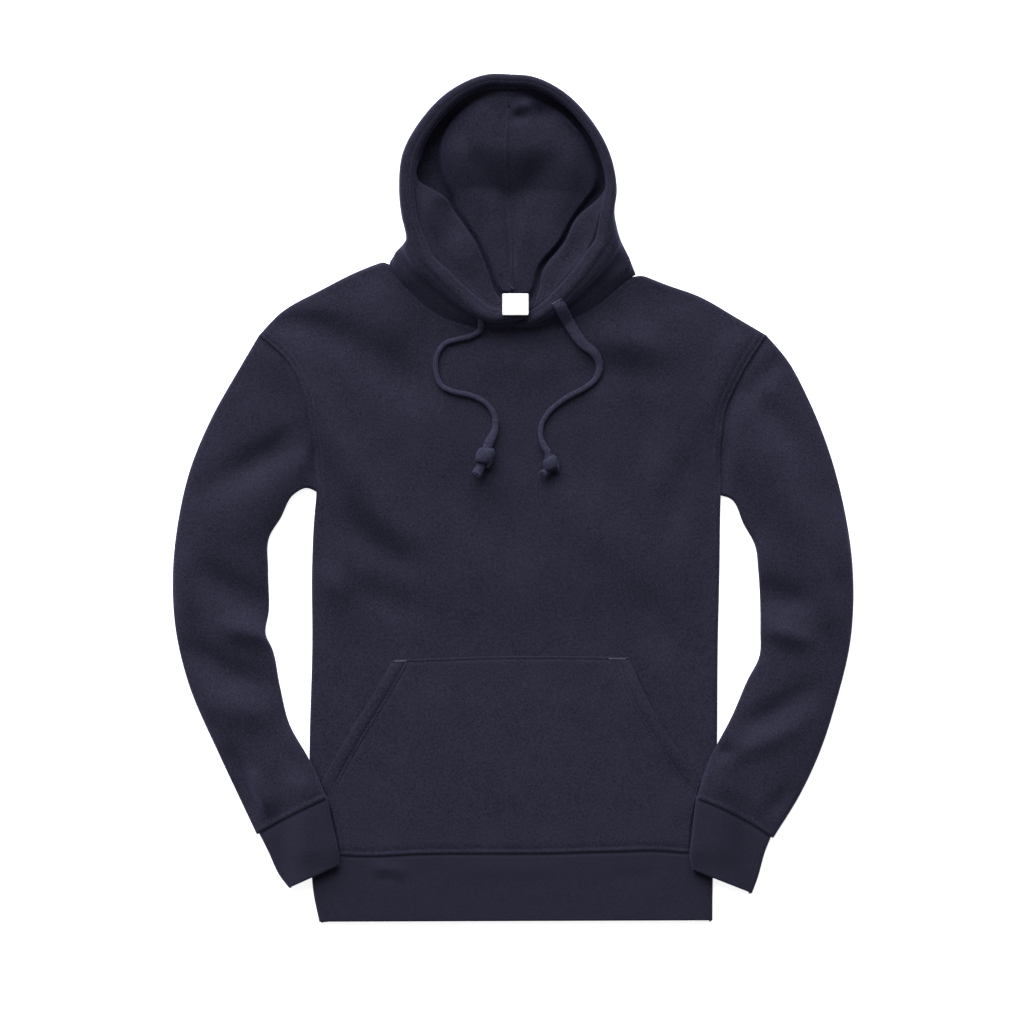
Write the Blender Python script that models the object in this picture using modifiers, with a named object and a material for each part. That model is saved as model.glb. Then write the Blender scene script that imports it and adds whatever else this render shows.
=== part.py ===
"""Pullover hoodie in heavy brushed-back fleece, lying on its back on a flat surface.

Sizes are in millimetres, in the garment's own plan: x runs from the centre line towards
the wearer's left side, y from the bottom of the waistband up to the hood, z up from the
surface that it lies on. The finished solids are in metres, with the origin at the bottom
centre of the whole garment.
"""
import functools
import math

import bmesh
import bpy
from mathutils import Vector
import numpy as np

MM = 0.001

# Driving sizes
LENGTH_OVERALL = 924.0      # bottom of the waistband to the top of the open hood
CLOTH = 2.4                 # one layer of heavy fleece
RIB = 3.0                   # rib folded double
SEAM = 0.3                  # clearance between pieces that are sewn together
LAID = 8.6                  # height of two fleece layers that lie on each other
LOWEST = 5.8                # height of the upper layer where a trough reaches the lower one
NECK_RISE = 3.9             # what the neck seam stands above that
NECK_RISE_REACH = 26.0      # how far from the seam that rise dies away
FRONT_EDGE = 3.9            # height of the front panel's turned edge, just over the back panel
ROLL = 6.0                  # width over which an upper layer turns down at its edge
TURN = (0, 1.8, ROLL)       # distances from an edge that follow the turn
WAISTBAND_SEAM = 73.0       # height of the seam between body and waistband
CHEST_WIDTH = 450.0
BODY_HEIGHT = 600.0         # waistband seam to shoulder
SHOULDER_SHARE = 0.25       # part of the body's width that one shoulder takes
SIDE_SHARE = 0.68           # part of the body's height below the armhole
POCKET_SIDE_SHARE = 0.36    # part of the pocket's height below its mouth
ARMPIT = 440.0              # height of the underarm point in plan
POCKET_TOP_HEIGHT = 292.0
POCKET_HALF_WIDTH = 205.0
CUFF_BOW = {"R": 6.0, "L": 14.0}    # how far the cuff seam bows towards the shoulder
FOREARM_REST = 262.0        # height in plan below which a forearm lies on the body
FOREARM_RAMP = 34.0         # width over which it climbs the body's side
OVER_WAISTBAND = 9.6        # what it climbs over the waistband
OVER_BODY = 12.8            # and over the body
CORD_RADIUS = 3.2
CORD_POINTS = 34
FOLD_FADE = 22.0            # width over which folds die away at the pocket and the neck
ARMHOLE_GAP = 0.85          # clearance along the curved armhole seam
SHOULDER_POINT_ROOM = 2.4   # more clearance where the hood's seam meets the shoulder seam
LAID_GAP = 0.6              # clearance under what lies loosely on the chest
LABEL_WIDTH = 29.0
LABEL_HEIGHT = 24.0
LABEL_THICKNESS = 1.0
LABEL_CENTRE = 3.0          # its place from the centre line
LABEL_FREE_EDGE = (661.0, 35.6)     # y and z of the tab's lower edge
LABEL_SEWN_EDGE_Z = 29.1

# Outlines, each from its lower or inner end: x, y. R is the wearer's right (-x), L the left.
SIDE = {
    "R": ((-220, 73), (-222, 180), (-219, 300), (-219, 395), (-217, 438), (-214, 468)),
    "L": ((220, 73), (223, 180), (224, 300), (226, 395), (226.5, 438), (227, 465)),
}
ARMHOLE = {
    "R": ((-214, 468), (-217, 514), (-222, 547), (-230, 582), (-243, 608), (-277, 640)),
    "L": ((227, 465), (228, 531), (232, 558), (242, 581), (254, 604), (277, 640)),
}
SHOULDER = {
    "R": ((-277, 640), (-254, 664), (-210, 689), (-166, 711), (-137, 722)),
    "L": ((277, 640), (248, 657), (200, 684), (171, 694), (138, 707)),
}
SLEEVE_INNER = {
    "R": ((-214.5, 468), (-226, 473), (-240, 466), (-254, 440), (-266, 420), (-267, 384),
          (-266, 340), (-269, 312), (-263, 300), (-254, 258), (-243, 215), (-223, 180), (-202, 134.5)),
    "L": ((227.5, 465), (238, 462), (253, 433), (265, 410), (268, 384), (270, 318), (269, 290),
          (256, 264), (241, 229), (213, 174), (200, 134.5)),
}
SLEEVE_OUTER = {
    "R": ((-277.3, 639.7), (-297, 606), (-330, 547), (-352, 494), (-365, 438), (-371, 375), (-368, 320),
          (-355, 264), (-319, 180), (-297, 133), (-279, 95)),
    "L": ((277.4, 639.7), (300, 613), (324, 568), (346, 512), (361, 455), (371, 385), (369, 310),
          (352, 237), (335, 185), (313, 138), (284, 91)),
}
CUFF_INNER = {
    "R": ((-202, 134), (-197, 106), (-190, 76), (-189, 62)),
    "L": ((200, 134), (196, 100), (194, 65), (196, 57)),
}
CUFF_OUTER = {
    "R": ((-277, 94), (-267, 75), (-254, 49), (-244, 37)),
    "L": ((282, 90), (276, 76), (267, 46), (261, 31)),
}
WAISTBAND_EDGE = {
    "R": ((-220, WAISTBAND_SEAM), (-219, 47), (-217, 29), (-211, 0)),
    "L": ((220, WAISTBAND_SEAM), (218.5, 50), (218, 25), (218, 1.5)),
}
RIB_SECTIONS = (0, 0.33, 0.67, 1)
# The neckline from centre back to the shoulder, then on to centre front: x, y, z
NECK_BACK = {
    "R": ((-2, 690, 0), (-60, 692, 0), (-105, 703, 0), (-137, 721.5, 0)),
    "L": ((-2, 690, 0), (58, 692, 0), (104, 699, 0), (138, 706.5, 0)),
}
NECK_FRONT = {
    "R": ((-137, 721.5, 5.5), (-131, 710, 10.5), (-107, 684, 12.5), (-86, 666, 12.5),
          (-34, 648.5, 12.5), (-2, 647, 12.5)),
    "L": ((138, 706.5, 5.5), (127, 702, 10.5), (105, 684, 12.5), (79, 665, 12.5),
          (41, 651.5, 12.5), (-2, 647, 12.5)),
}
POCKET_TOP = ((-131, 286), (-2, 290), (127, 289))
POCKET_MOUTH = {
    "R": ((-209, 152), (-188, 190), (-150, 253), (-131, 286)),
    "L": ((205, 152), (182, 185), (141, 255), (127, 289)),
}
POCKET_SIDE = {
    "R": ((-188, 73.6), (-194, 105), (-209, 152)),
    "L": ((192, 73.6), (194, 105), (205, 152)),
}

# Folds in the upper layer, each along a bowed line: start, middle and end (x, y),
# half width, height above the laid cloth (below it where negative)
BODY_FOLDS = (
    (-246, 640, -192, 518, -112, 420, 25, 6.0),
    (-262, 664, -225, 664, -190, 672, 12, 3.0),
    (-240, 648, -177, 634, -95, 583, 20, -3.2),
    (-155, 706, -142, 665, -126, 620, 20, 5.0),
    (-205, 385, -196, 372, -185, 350, 16, 3.0),
    (-170, 440, -145, 415, -112, 392, 22, -3.2),
    (-160, 364, -140, 348, -118, 338, 20, -3.0),
    (-40, 622, 10, 618, 50, 600, 26, 3.5),
    (74, 652, 120, 645, 170, 628, 22, 4.0),
    (250, 645, 225, 600, 215, 540, 18, 3.5),
    (120, 600, 150, 560, 160, 500, 26, -2.5),
    (190, 520, 175, 470, 178, 430, 22, -2.5),
    (140, 360, 150, 330, 164, 296, 20, -3.0),
    (146, 268, 166, 232, 196, 182, 12, -2.6),
)
SLEEVE_FOLDS = {
    "R": (
        (-264, 606, -243, 565, -234, 520, 20, -3.2),
        (-228, 514, -286, 473, -345, 446, 22, 8.0),
        (-338, 400, -308, 362, -264, 348, 16, -3.2),
        (-312, 330, -292, 322, -268, 314, 13, 5.0),
        (-360, 320, -322, 282, -262, 264, 17, -3.2),
        (-358, 405, -360, 365, -350, 330, 12, 4.5),
        (-340, 250, -300, 238, -258, 238, 20, 3.5),
        (-306, 190, -290, 150, -272, 104, 10, -3.0),
        (-282, 172, -270, 140, -256, 112, 10, 4.0),
    ),
    "L": (
        (288, 622, 262, 602, 246, 580, 11, -3.0),
        (278, 572, 296, 550, 316, 528, 15, -3.0),
        (256, 560, 282, 480, 325, 410, 22, 7.0),
        (325, 410, 350, 370, 352, 322, 16, 5.0),
        (270, 374, 292, 364, 318, 358, 17, -3.2),
        (274, 334, 298, 324, 324, 312, 12, 5.0),
        (250, 216, 288, 236, 335, 272, 14, -3.2),
        (244, 192, 282, 206, 322, 238, 14, 4.0),
        (229, 190, 231, 187, 233, 184, 8, -2.0),
    ),
}

# Sections of the hood's outer half, from the centre seam round to the front end. Each goes
# from the rim over the wall and its foot to the neckline, whose place is the share of it
# from 0 at centre back, 1 at the shoulder point and 2 at centre front.
# rim x, y, z; wall x, y, z; foot x, y, z; neckline share
HOOD_SECTIONS = {
    "R": (
        (-2.2, 922.5, 42, -2.2, 923.5, 26, -2.2, 905, 0, 0.0),
        (-26, 922.5, 42.5, -26, 923.7, 26, -22, 905, 0, 0.07),
        (-67.5, 905, 44, -68, 906, 27, -58, 890, 0, 0.2),
        (-99, 873, 45, -100, 874, 28, -85, 862, 0, 0.34),
        (-119, 836, 45, -120.5, 836, 28, -103, 830, 0, 0.5),
        (-122.5, 803, 45, -124, 803, 28, -107, 800, 0, 0.64),
        (-119, 768, 44, -121, 768, 27, -106, 764, 0, 0.78),
        (-113.5, 749, 43, -116, 744, 26, -116, 738, 3, 0.9),
        (-109, 737, 42.5, -120, 736, 30, -129, 729, 17, 1.06),
        (-102, 722, 42, -110, 717, 36, -118, 709, 24, 1.16),
        (-83, 702, 40, -89, 697, 34, -96, 688, 22, 1.36),
        (-64, 683, 37, -68, 679, 31.5, -74, 671.5, 21, 1.52),
        (-27, 656, 34, -28, 655, 29, -30, 652, 20, 1.82),
        (15, 660, 33, 13, 657.5, 28.5, 8, 653, 21, 1.99),
    ),
    "L": (
        (-1.8, 922.5, 42, -1.8, 923.5, 26, -1.8, 905, 0, 0.0),
        (20, 920.5, 42.5, 20, 921.5, 26, 17, 903, 0, 0.07),
        (51.5, 906, 43, 52, 907, 27, 44, 891, 0, 0.2),
        (83, 875, 44, 84, 876, 28, 70, 864, 0, 0.34),
        (106, 834, 45, 107, 834, 28, 90, 829, 0, 0.5),
        (112, 798, 45, 113.5, 798, 28, 97, 796, 0, 0.64),
        (109, 770, 44, 111, 771, 27, 98, 766, 0, 0.78),
        (107.5, 754, 43, 114, 755, 26, 114, 744, 3, 0.9),
        (105, 741, 42, 117, 738, 31, 129, 720, 16, 1.06),
        (97, 729, 41.5, 107, 722, 34, 117, 709, 22, 1.12),
        (82, 707, 40, 89, 701, 33, 96, 691, 21, 1.31),
        (60, 682, 36, 64.5, 677.5, 30.5, 70, 670, 20.5, 1.5),
        (36, 661, 30, 37.5, 658.5, 25.5, 39, 655.5, 18.5, 1.73),
        (16.5, 651, 24.5, 16.6, 650.4, 21.5, 16.2, 649.4, 17, 1.88),
    ),
}
# Sections of the hood's lining, from the centre top round to the front end: the rim
# (x, y, z), the foot of the section on the centre seam (y, z), then the distance in from
# the rim and the height of the lip, of the valley and of the edge of the raised middle
LINING_SECTIONS = {
    "R": (
        (-2.2, 922.5, 42, 896, 23, 9, 35, 16.5, 18, 23, 22),
        (-20, 922.6, 42, 894, 23, 10, 35, 18, 18, 25, 22),
        (-67.5, 905, 44, 880, 27, 11, 34, 22, 12, 32, 20),
        (-99, 873, 45, 856, 30, 13, 34, 25, 12, 36, 20),
        (-119, 836, 45, 830, 29, 16, 33, 30, 12, 44, 20),
        (-122.5, 803, 45, 806, 26, 19, 31, 38, 12, 56, 20),
        (-119, 768, 44, 784, 23, 42, 31, 56, 14, 64, 21),
        (-102, 722, 42, 760, 22, 58, 28, 67, 13, 74, 21),
        (-64, 683, 37, 734, 22, 46, 27, 55, 13, 61, 20),
        (-27, 656, 34, 708, 22, 33, 27, 42, 17, 47, 20),
        (15, 660, 33, 691, 24, 12, 30, 20, 27, 26, 26),
    ),
    "L": (
        (-1.8, 922.5, 42, 896, 23, 9, 35, 16.5, 18, 23, 22),
        (16, 921.2, 42, 894, 23, 10, 35, 18, 18, 25, 22),
        (51.5, 906, 43, 880, 27, 12, 34, 24, 12, 40, 21),
        (83, 875, 44, 856, 30, 10, 36, 18, 13, 27, 21),
        (106, 834, 45, 830, 29, 10, 36, 19, 12.5, 29, 21),
        (112, 798, 45, 806, 26, 11, 36, 21, 12, 32, 21),
        (109, 770, 44, 784, 23, 32, 32, 42, 14, 49, 21),
        (97, 729, 41.5, 760, 22, 46, 29, 55, 13, 61, 21),
        (66, 689, 37, 734, 22, 36, 27, 45, 14, 51, 20),
        (38, 663, 31, 708, 22, 23, 25, 30, 16, 35, 19),
        (16.5, 651, 24.5, 691, 19, 12, 22, 20, 18, 28, 18),
    ),
}
CENTRE_SEAM = ((-2, 924), (-4, 895), (-7, 841), (-5, 787), (-1, 737), (-2, 690))

# Drawcord routes: x, y, z and whether the cord lies on the front panel there; where it
# does, z is only what it is lifted off the cloth
CORD_ROUTES = {
    "R": ((-36, 652, 27.5, 0), (-34.5, 648, 22.5, 0), (-36, 643.5, 18, 0), (-45, 639, 0, 1),
          (-60, 635, 0, 1), (-73, 631, 0, 1), (-82, 619, 0, 1), (-84, 603, 0, 1), (-77, 584, 0, 1),
          (-64, 578, 0, 1), (-46, 574, 0, 1), (-30, 566, 0, 1), (-20, 552, 0, 1), (-19, 538, 1.5, 1),
          (-27, 520, 4.6, 1)),
    "L": ((55.5, 667, 35, 0), (58, 661.5, 27, 0), (61, 654.5, 4, 1), (67, 643, 2.6, 1),
          (78, 629, 1.2, 1), (89, 620, 0.9, 1), (94.5, 608, 0.9, 1), (91, 593, 0.4, 1), (80, 583, 0, 1),
          (66, 575.5, 0, 1), (52, 567, 0, 1), (38, 554, 0, 1), (31, 540, 0, 1), (31, 526, 1.5, 1),
          (39.5, 510, 4.6, 1)),
}
# Knots at the cord ends and the tails below them: x, y, radius, height of the middle above
# the front panel
KNOTS = {
    "R": ((-28.3, 516.5, 6.5, 8.8), (-29.5, 511, 8.6, 9.6), (-30.5, 505.5, 8.6, 9.6),
          (-32.5, 500, 6.0, 7.8), (-35.5, 496.5, 4.8, 6.2), (-38.5, 491, 5.4, 6.4),
          (-41.5, 484, 6.2, 7.0)),
    "L": ((41, 506.5, 6.3, 8.8), (42.5, 502, 8.2, 9.2), (43, 497, 8.0, 9.0), (40.5, 492, 5.8, 7.6),
          (36.5, 488.8, 4.8, 6.2), (32, 486.3, 5.4, 6.4), (27.5, 484, 6.0, 6.8)),
}


@functools.lru_cache(maxsize=None)
def spline(rows):
    """A smooth curve through the rows, read by the share of its length from 0 to 1."""
    points = np.array(rows, float)
    steps = np.linalg.norm(np.diff(points[:, :3], axis=0), axis=1)
    knots = np.concatenate(([0.0], np.cumsum(steps))) / steps.sum()
    slopes = np.gradient(points, knots, axis=0)

    def at(share):
        k = int(np.clip(np.searchsorted(knots, share) - 1, 0, len(knots) - 2))
        span = knots[k + 1] - knots[k]
        t = (share - knots[k]) / span
        return ((2 * t**3 - 3 * t**2 + 1) * points[k] + (t**3 - 2 * t**2 + t) * span * slopes[k]
                + (3 * t**2 - 2 * t**3) * points[k + 1] + (t**3 - t**2) * span * slopes[k + 1])

    return at


def smooth_step(value):
    t = min(max(value, 0.0), 1.0)
    return t * t * (3 - 2 * t)


def coons(bottom, top, start, end, u, v):
    """The point at (u, v) of the patch that four edge curves enclose."""
    corners = ((1 - u) * (1 - v) * bottom(0) + u * (1 - v) * bottom(1)
               + (1 - u) * v * top(0) + u * v * top(1))
    return (1 - v) * bottom(u) + v * top(u) + (1 - u) * start(v) + u * end(v) - corners


def joined(first, second, share):
    """Two curves end to end, the first over the given share of the whole."""
    def at(t):
        return first(t / share) if t <= share else second((t - share) / (1 - share))

    return at


def offset(curve, distance):
    """The curve moved sideways in plan; a positive distance is to its left."""
    step = 1e-3

    def at(t):
        ahead, behind = curve(min(t + step, 1)), curve(max(t - step, 0))
        along = (ahead - behind)[:2]
        along /= np.linalg.norm(along)
        point = curve(t).copy()
        point[0] -= along[1] * distance
        point[1] += along[0] * distance
        return point

    return at


def folds_at(folds, x, y):
    """Height that the folds add at a place; each is bell-shaped across and fades at its ends."""
    total = 0.0
    for x0, y0, x1, y1, x2, y2, half_width, height in folds:
        nearest = min(
            math.hypot((1 - t)**2 * x0 + 2 * t * (1 - t) * x1 + t * t * x2 - x,
                       (1 - t)**2 * y0 + 2 * t * (1 - t) * y1 + t * t * y2 - y)
            for t in np.linspace(0, 1, 13))
        total += height * math.exp(-(nearest / half_width)**2)
    return total


def front_height(x, y):
    """Top of the front panel, away from its turned edges; it rises to the neck seam."""
    from_neck = neck_distance(x, y)
    rise = NECK_RISE * math.exp(-(from_neck / NECK_RISE_REACH)**2)
    under_pocket = (smooth_step((POCKET_TOP_HEIGHT - y) / FOLD_FADE)
                    * smooth_step((POCKET_HALF_WIDTH - abs(x)) / FOLD_FADE))
    calm = (1.0 - 0.7 * under_pocket) * (0.15 + 0.85 * smooth_step(from_neck / FOLD_FADE))
    return max(LAID + rise + calm * folds_at(BODY_FOLDS, x, y), LOWEST)


def neck_distance(x, y):
    return min(math.hypot(x - px, y - py) for px, py in NECK_SAMPLES)


def mesh_object(name, bm, finish):
    """An object in the hoodie's collection, its points turned from the plan into metres."""
    for vert in bm.verts:
        vert.co = (vert.co - Vector((0, LENGTH_OVERALL / 2, 0))) * MM
    mesh = bpy.data.meshes.new(name)
    bm.to_mesh(mesh)
    bm.free()
    mesh.materials.append(finish)
    mesh.shade_smooth()
    piece = bpy.data.objects.new(name, mesh)
    collection.objects.link(piece)
    return piece


def shell(name, columns, rows, place, thickness, finish, ring=False, even=True):
    """A wall on a grid of cloth whose outer face place(column, row) gives."""
    bm = bmesh.new()
    bmesh.ops.create_grid(bm, x_segments=columns, y_segments=rows, size=1.0)
    for vert in bm.verts:
        column = round((vert.co.x + 1) / 2 * columns)
        row = round((vert.co.y + 1) / 2 * rows)
        vert.co = Vector(place(column, row))
    if ring:
        bmesh.ops.remove_doubles(bm, verts=bm.verts, dist=0.01)
        bmesh.ops.recalc_face_normals(bm, faces=bm.faces)
    piece = mesh_object(name, bm, finish)
    wall = piece.modifiers.new("Cloth", "SOLIDIFY")
    wall.thickness = thickness * MM
    wall.offset = -1
    wall.use_even_offset = even


def material(name, colour, roughness):
    made = bpy.data.materials.new(name)
    made.use_nodes = True
    shader = made.node_tree.nodes["Principled BSDF"]
    shader.inputs["Base Color"].default_value = (*colour, 1)
    shader.inputs["Roughness"].default_value = roughness
    shader.inputs["Metallic"].default_value = 0
    made.diffuse_color = (*colour, 1)
    return made


# ---------------------------------------------------------------- body

def back_neck(side):
    return spline(NECK_BACK[side])


def front_neck(side):
    return spline(NECK_FRONT[side])


def back_panel(cloth):
    """A flat outline: hem seam, side, armhole, shoulder, neck and back down the other side."""
    outline = [(x, WAISTBAND_SEAM + SEAM) for x in np.linspace(-220, 220, 9)]
    for table, count in ((SIDE, 9), (ARMHOLE, 12), (SHOULDER, 8)):
        outline += [tuple(spline(table["L"])(t)[:2]) for t in np.linspace(0, 1, count)[1:]]
    outline += [tuple(back_neck("L")(t)[:2]) for t in np.linspace(1, 0, 12)[1:]]
    outline += [tuple(back_neck("R")(t)[:2]) for t in np.linspace(0, 1, 12)[1:]]
    for table, count in ((SHOULDER, 8), (ARMHOLE, 12), (SIDE, 9)):
        outline += [tuple(spline(table["R"])(t)[:2]) for t in np.linspace(1, 0, count)[1:]]
    curve = bpy.data.curves.new("back_panel", "CURVE")
    curve.dimensions = "2D"
    curve.fill_mode = "BOTH"
    curve.extrude = CLOTH / 2 * MM
    path = curve.splines.new("POLY")
    path.points.add(len(outline) - 2)
    for point, (x, y) in zip(path.points, outline[:-1]):
        point.co = (x * MM, (y - LENGTH_OVERALL / 2) * MM, 0, 1)
    path.use_cyclic_u = True
    curve.materials.append(cloth)
    piece = bpy.data.objects.new("back_panel", curve)
    piece.location.z = CLOTH / 2 * MM
    collection.objects.link(piece)


def top_edge(t):
    """Right shoulder, front neckline and left shoulder of the front panel."""
    if t < SHOULDER_SHARE:
        return spline(SHOULDER["R"])(t / SHOULDER_SHARE)[:2]
    if t > 1 - SHOULDER_SHARE:
        return spline(SHOULDER["L"])((1 - t) / SHOULDER_SHARE)[:2]
    across = (t - SHOULDER_SHARE) / (1 - 2 * SHOULDER_SHARE)
    gap = 2 * SEAM
    if across <= 0.5:
        return offset(front_neck("R"), -gap)(across * 2)[:2]
    return offset(front_neck("L"), gap)(2 - across * 2)[:2]


def turned(distance, amount):
    """Share of the height that is left where cloth turns down at an edge."""
    inward = min(distance / ROLL, 1.0)
    return 1 - amount * (1 - math.sqrt(1 - (1 - inward)**2))


def front_panel(cloth):
    """The front, laid on the back and turned down to it at the side and shoulder seams."""
    def edge(side):
        return joined(lambda t: spline(SIDE[side])(t)[:2], lambda t: spline(ARMHOLE[side])(t)[:2],
                      SIDE_SHARE)

    start, end = edge("R"), edge("L")
    left, right = start(0), end(0)
    hem = lambda t: np.array([left[0] + (right[0] - left[0]) * t, WAISTBAND_SEAM + SEAM])
    across = [d / CHEST_WIDTH for d in TURN] + list(np.linspace(0.05, SHOULDER_SHARE, 6))
    across += list(np.linspace(SHOULDER_SHARE, 0.5, 7))[1:]
    across += [1 - t for t in reversed(across[:-1])]
    last_plain = 1 - 20 / BODY_HEIGHT
    up = list(np.linspace(0, SIDE_SHARE, 17)) + list(np.linspace(SIDE_SHARE, last_plain, 9))[1:]
    up += [1 - d / BODY_HEIGHT for d in reversed(TURN)]

    def place(column, row):
        u, v = across[column], up[row]
        x, y = coons(hem, top_edge, start, end, u, v)
        side_turn = 1 - smooth_step((y - ARMPIT) / NECK_RISE_REACH)
        shoulder = min(u, 1 - u) < SHOULDER_SHARE + 1e-6
        height = turned(min(u, 1 - u) * CHEST_WIDTH, side_turn)
        if shoulder:
            height *= turned((1 - v) * BODY_HEIGHT, 1)
        return x, y, FRONT_EDGE + (front_height(x, y) - FRONT_EDGE) * height

    shell("front_panel", len(across) - 1, len(up) - 1, place, CLOTH, cloth)


def pocket_patch():
    def edge(side):
        lower, upper = spline(POCKET_SIDE[side]), spline(POCKET_MOUTH[side])
        return joined(lambda t: lower(t)[:2], lambda t: upper(t)[:2], POCKET_SIDE_SHARE)

    left, right = edge("R")(0), edge("L")(0)
    hem = lambda t: left + (right - left) * t
    top = spline(POCKET_TOP)
    return lambda u, v: coons(hem, top, edge("R"), edge("L"), u, v)


def kangaroo_pocket(cloth):
    """One layer sewn on the front, open along its two slanted mouths."""
    patch = pocket_patch()
    columns, rows = 16, 11

    def place(column, row):
        x, y = patch(column / columns, row / rows)
        return x, y, front_height(x, y) + SEAM + CLOTH

    shell("kangaroo_pocket", columns, rows, place, CLOTH, cloth)


# ---------------------------------------------------------------- tubes

def patch_width(patch, v):
    return float(np.linalg.norm(patch(1, v) - patch(0, v)))


def tube(name, patch, sections, under, thick, spans, finish, thickness):
    """A tube of cloth pressed flat, over a plan patch whose u goes from edge to edge.

    under(x, y) is the surface that it lies on, thick(x, y) its height over that, and
    spans are how many its top and its underside have between the turned edges.
    """
    upper_spans, lower_spans = spans

    def template(w):
        half = 0.5 * thick(*patch(0.5, w))
        width = patch_width(patch, w)
        turn = [0.3 * half / width, half / width]
        inner = list(np.linspace(turn[1], 1 - turn[1], upper_spans + 1))
        top = [(0, 0.5), (turn[0], 0.86)] + [(u, 1.0) for u in inner] + [(1 - turn[0], 0.86), (1, 0.5)]
        lower = list(np.linspace(1 - turn[1], turn[1], lower_spans + 1))
        return top + [(1 - turn[0], 0.14)] + [(u, 0.0) for u in lower] + [(turn[0], 0.14), (0, 0.5)]

    columns = len(template(0)) - 1

    def place(column, row):
        w = sections[row]
        u, level = template(w)[column]
        x, y = patch(u, w)
        return x, y, under(x, y) + level * thick(x, y)

    shell(name, columns, len(sections) - 1, place, thickness, finish, ring=True)


def resting_on_body(side):
    """What a forearm lies on: the surface, then up and over the side of the body."""
    edge = spline(SIDE[side])(0.25)[0]

    def under(x, y):
        past = (x - edge) if side == "R" else (edge - x)
        at_seam = smooth_step((y - WAISTBAND_SEAM + 15) / FOLD_FADE)
        lift = OVER_WAISTBAND + (OVER_BODY - OVER_WAISTBAND) * at_seam
        climbed = smooth_step((past + FOREARM_RAMP) / (FOREARM_RAMP - 1))
        return lift * climbed * smooth_step((FOREARM_REST - y) / 60)

    return under


def sleeve(side, cloth):
    """From the armhole seam to the cuff seam, its folds across the arm."""
    name = {"R": "right_sleeve", "L": "left_sleeve"}[side]
    inner, outer = spline(SLEEVE_INNER[side]), spline(SLEEVE_OUTER[side])
    armhole = offset(spline(ARMHOLE[side]), {"R": ARMHOLE_GAP, "L": -ARMHOLE_GAP}[side])
    cuff_inner, cuff_outer = inner(1)[:2], outer(1)[:2]
    start = lambda t: armhole(t)[:2]
    seam = lambda t: (cuff_inner + (cuff_outer - cuff_inner) * t
                      + np.array([0, CUFF_BOW[side] * t * (1 - t)]))
    inside = lambda t: inner(t)[:2] + (start(0) - inner(0)[:2]) * (1 - t)**4
    outside = lambda t: outer(t)[:2] + (start(1) - outer(0)[:2]) * (1 - t)**4
    patch = lambda u, v: coons(start, seam, inside, outside, u, v)
    sections = list(np.linspace(0, 1, 21))

    def thick(x, y):
        return max(LAID + folds_at(SLEEVE_FOLDS[side], x, y), LOWEST)

    tube(name, patch, sections, resting_on_body(side), thick, (8, 3), cloth, CLOTH)


def cuff(side, rib):
    name = {"R": "right_cuff", "L": "left_cuff"}[side]
    inner, outer = spline(CUFF_INNER[side]), spline(CUFF_OUTER[side])
    drop = SEAM * 2
    seam_in, seam_out = inner(0)[:2], outer(0)[:2]
    end_in, end_out = inner(1)[:2], outer(1)[:2]
    start = lambda t: (seam_in + (seam_out - seam_in) * t
                       + np.array([0, CUFF_BOW[side] * t * (1 - t) - drop]))
    finish = lambda t: end_in + (end_out - end_in) * t
    patch = lambda u, v: coons(start, finish, lambda t: inner(t)[:2] - (0, drop * (1 - t)),
                               lambda t: outer(t)[:2] - (0, drop * (1 - t)), u, v)
    tube(name, patch, RIB_SECTIONS, resting_on_body(side), lambda x, y: LAID, (5, 4), rib, RIB)


def waistband(rib):
    right_edge, left_edge = spline(WAISTBAND_EDGE["R"]), spline(WAISTBAND_EDGE["L"])
    seam_in, seam_out = right_edge(0)[:2], left_edge(0)[:2]
    seam = lambda t: seam_in + (seam_out - seam_in) * t - (0, SEAM)
    finish = lambda t: right_edge(1)[:2] + (left_edge(1)[:2] - right_edge(1)[:2]) * t
    patch = lambda u, v: coons(seam, finish, lambda t: right_edge(t)[:2] - (0, SEAM * (1 - t)),
                               lambda t: left_edge(t)[:2] - (0, SEAM * (1 - t)), u, v)
    tube("waistband", patch, RIB_SECTIONS, lambda x, y: 0.0, lambda x, y: LAID, (20, 8), rib, RIB)


# ---------------------------------------------------------------- hood

def hood_point(side, share):
    """Place on the neckline, just inside the seam, with more room round the shoulder point."""
    gap = 2 * SEAM + SHOULDER_POINT_ROOM * math.exp(-((share - 1) / 0.12)**2)
    sign = {"R": -1, "L": 1}[side]
    curve = offset(back_neck(side), sign * gap) if share <= 1 else offset(front_neck(side), -sign * gap)
    point = curve(share if share <= 1 else share - 1)
    point[0] += sign * SEAM
    return point


def hood_panel(side, cloth):
    """Half of the hood's outside, from the rim down its wall and back along its underside.

    A profile row is (half, part): from the rim to the wall and from the wall to the foot
    are two quarter turns, read by the part of each.
    """
    name = {"R": "hood_right_panel", "L": "hood_left_panel"}[side]
    stations = spline(HOOD_SECTIONS[side])
    quarter = math.pi / 2
    columns = 18
    profile = ((0, 1.0), (0, 0.45), (1, 0.0), (1, 0.4), (1, 0.72), (1, 1.0))
    floor = (0.25, 0.5, 0.75, 1.0)

    def place(column, row):
        values = stations(column / columns)
        rim, wall, foot = values[0:3], values[3:6], values[6:9]
        neck = hood_point(side, float(np.clip(values[9], 0, 2)))
        if row < len(profile):
            lower, part = profile[row]
            target = foot if lower else rim
            angle = part * quarter
            point = wall.copy()
            point[:2] += (target - wall)[:2] * (1 - math.cos(angle))
            point[2] += (target - wall)[2] * math.sin(angle)
        else:
            point = foot + (neck - foot) * floor[row - len(profile)]
        point[2] = max(point[2], 0.0)
        return point

    rows = len(profile) + len(floor) - 1
    if side == "R":
        shell(name, columns, rows, lambda c, r: place(c, rows - r), CLOTH, cloth)
    else:
        shell(name, columns, rows, place, CLOTH, cloth)


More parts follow.
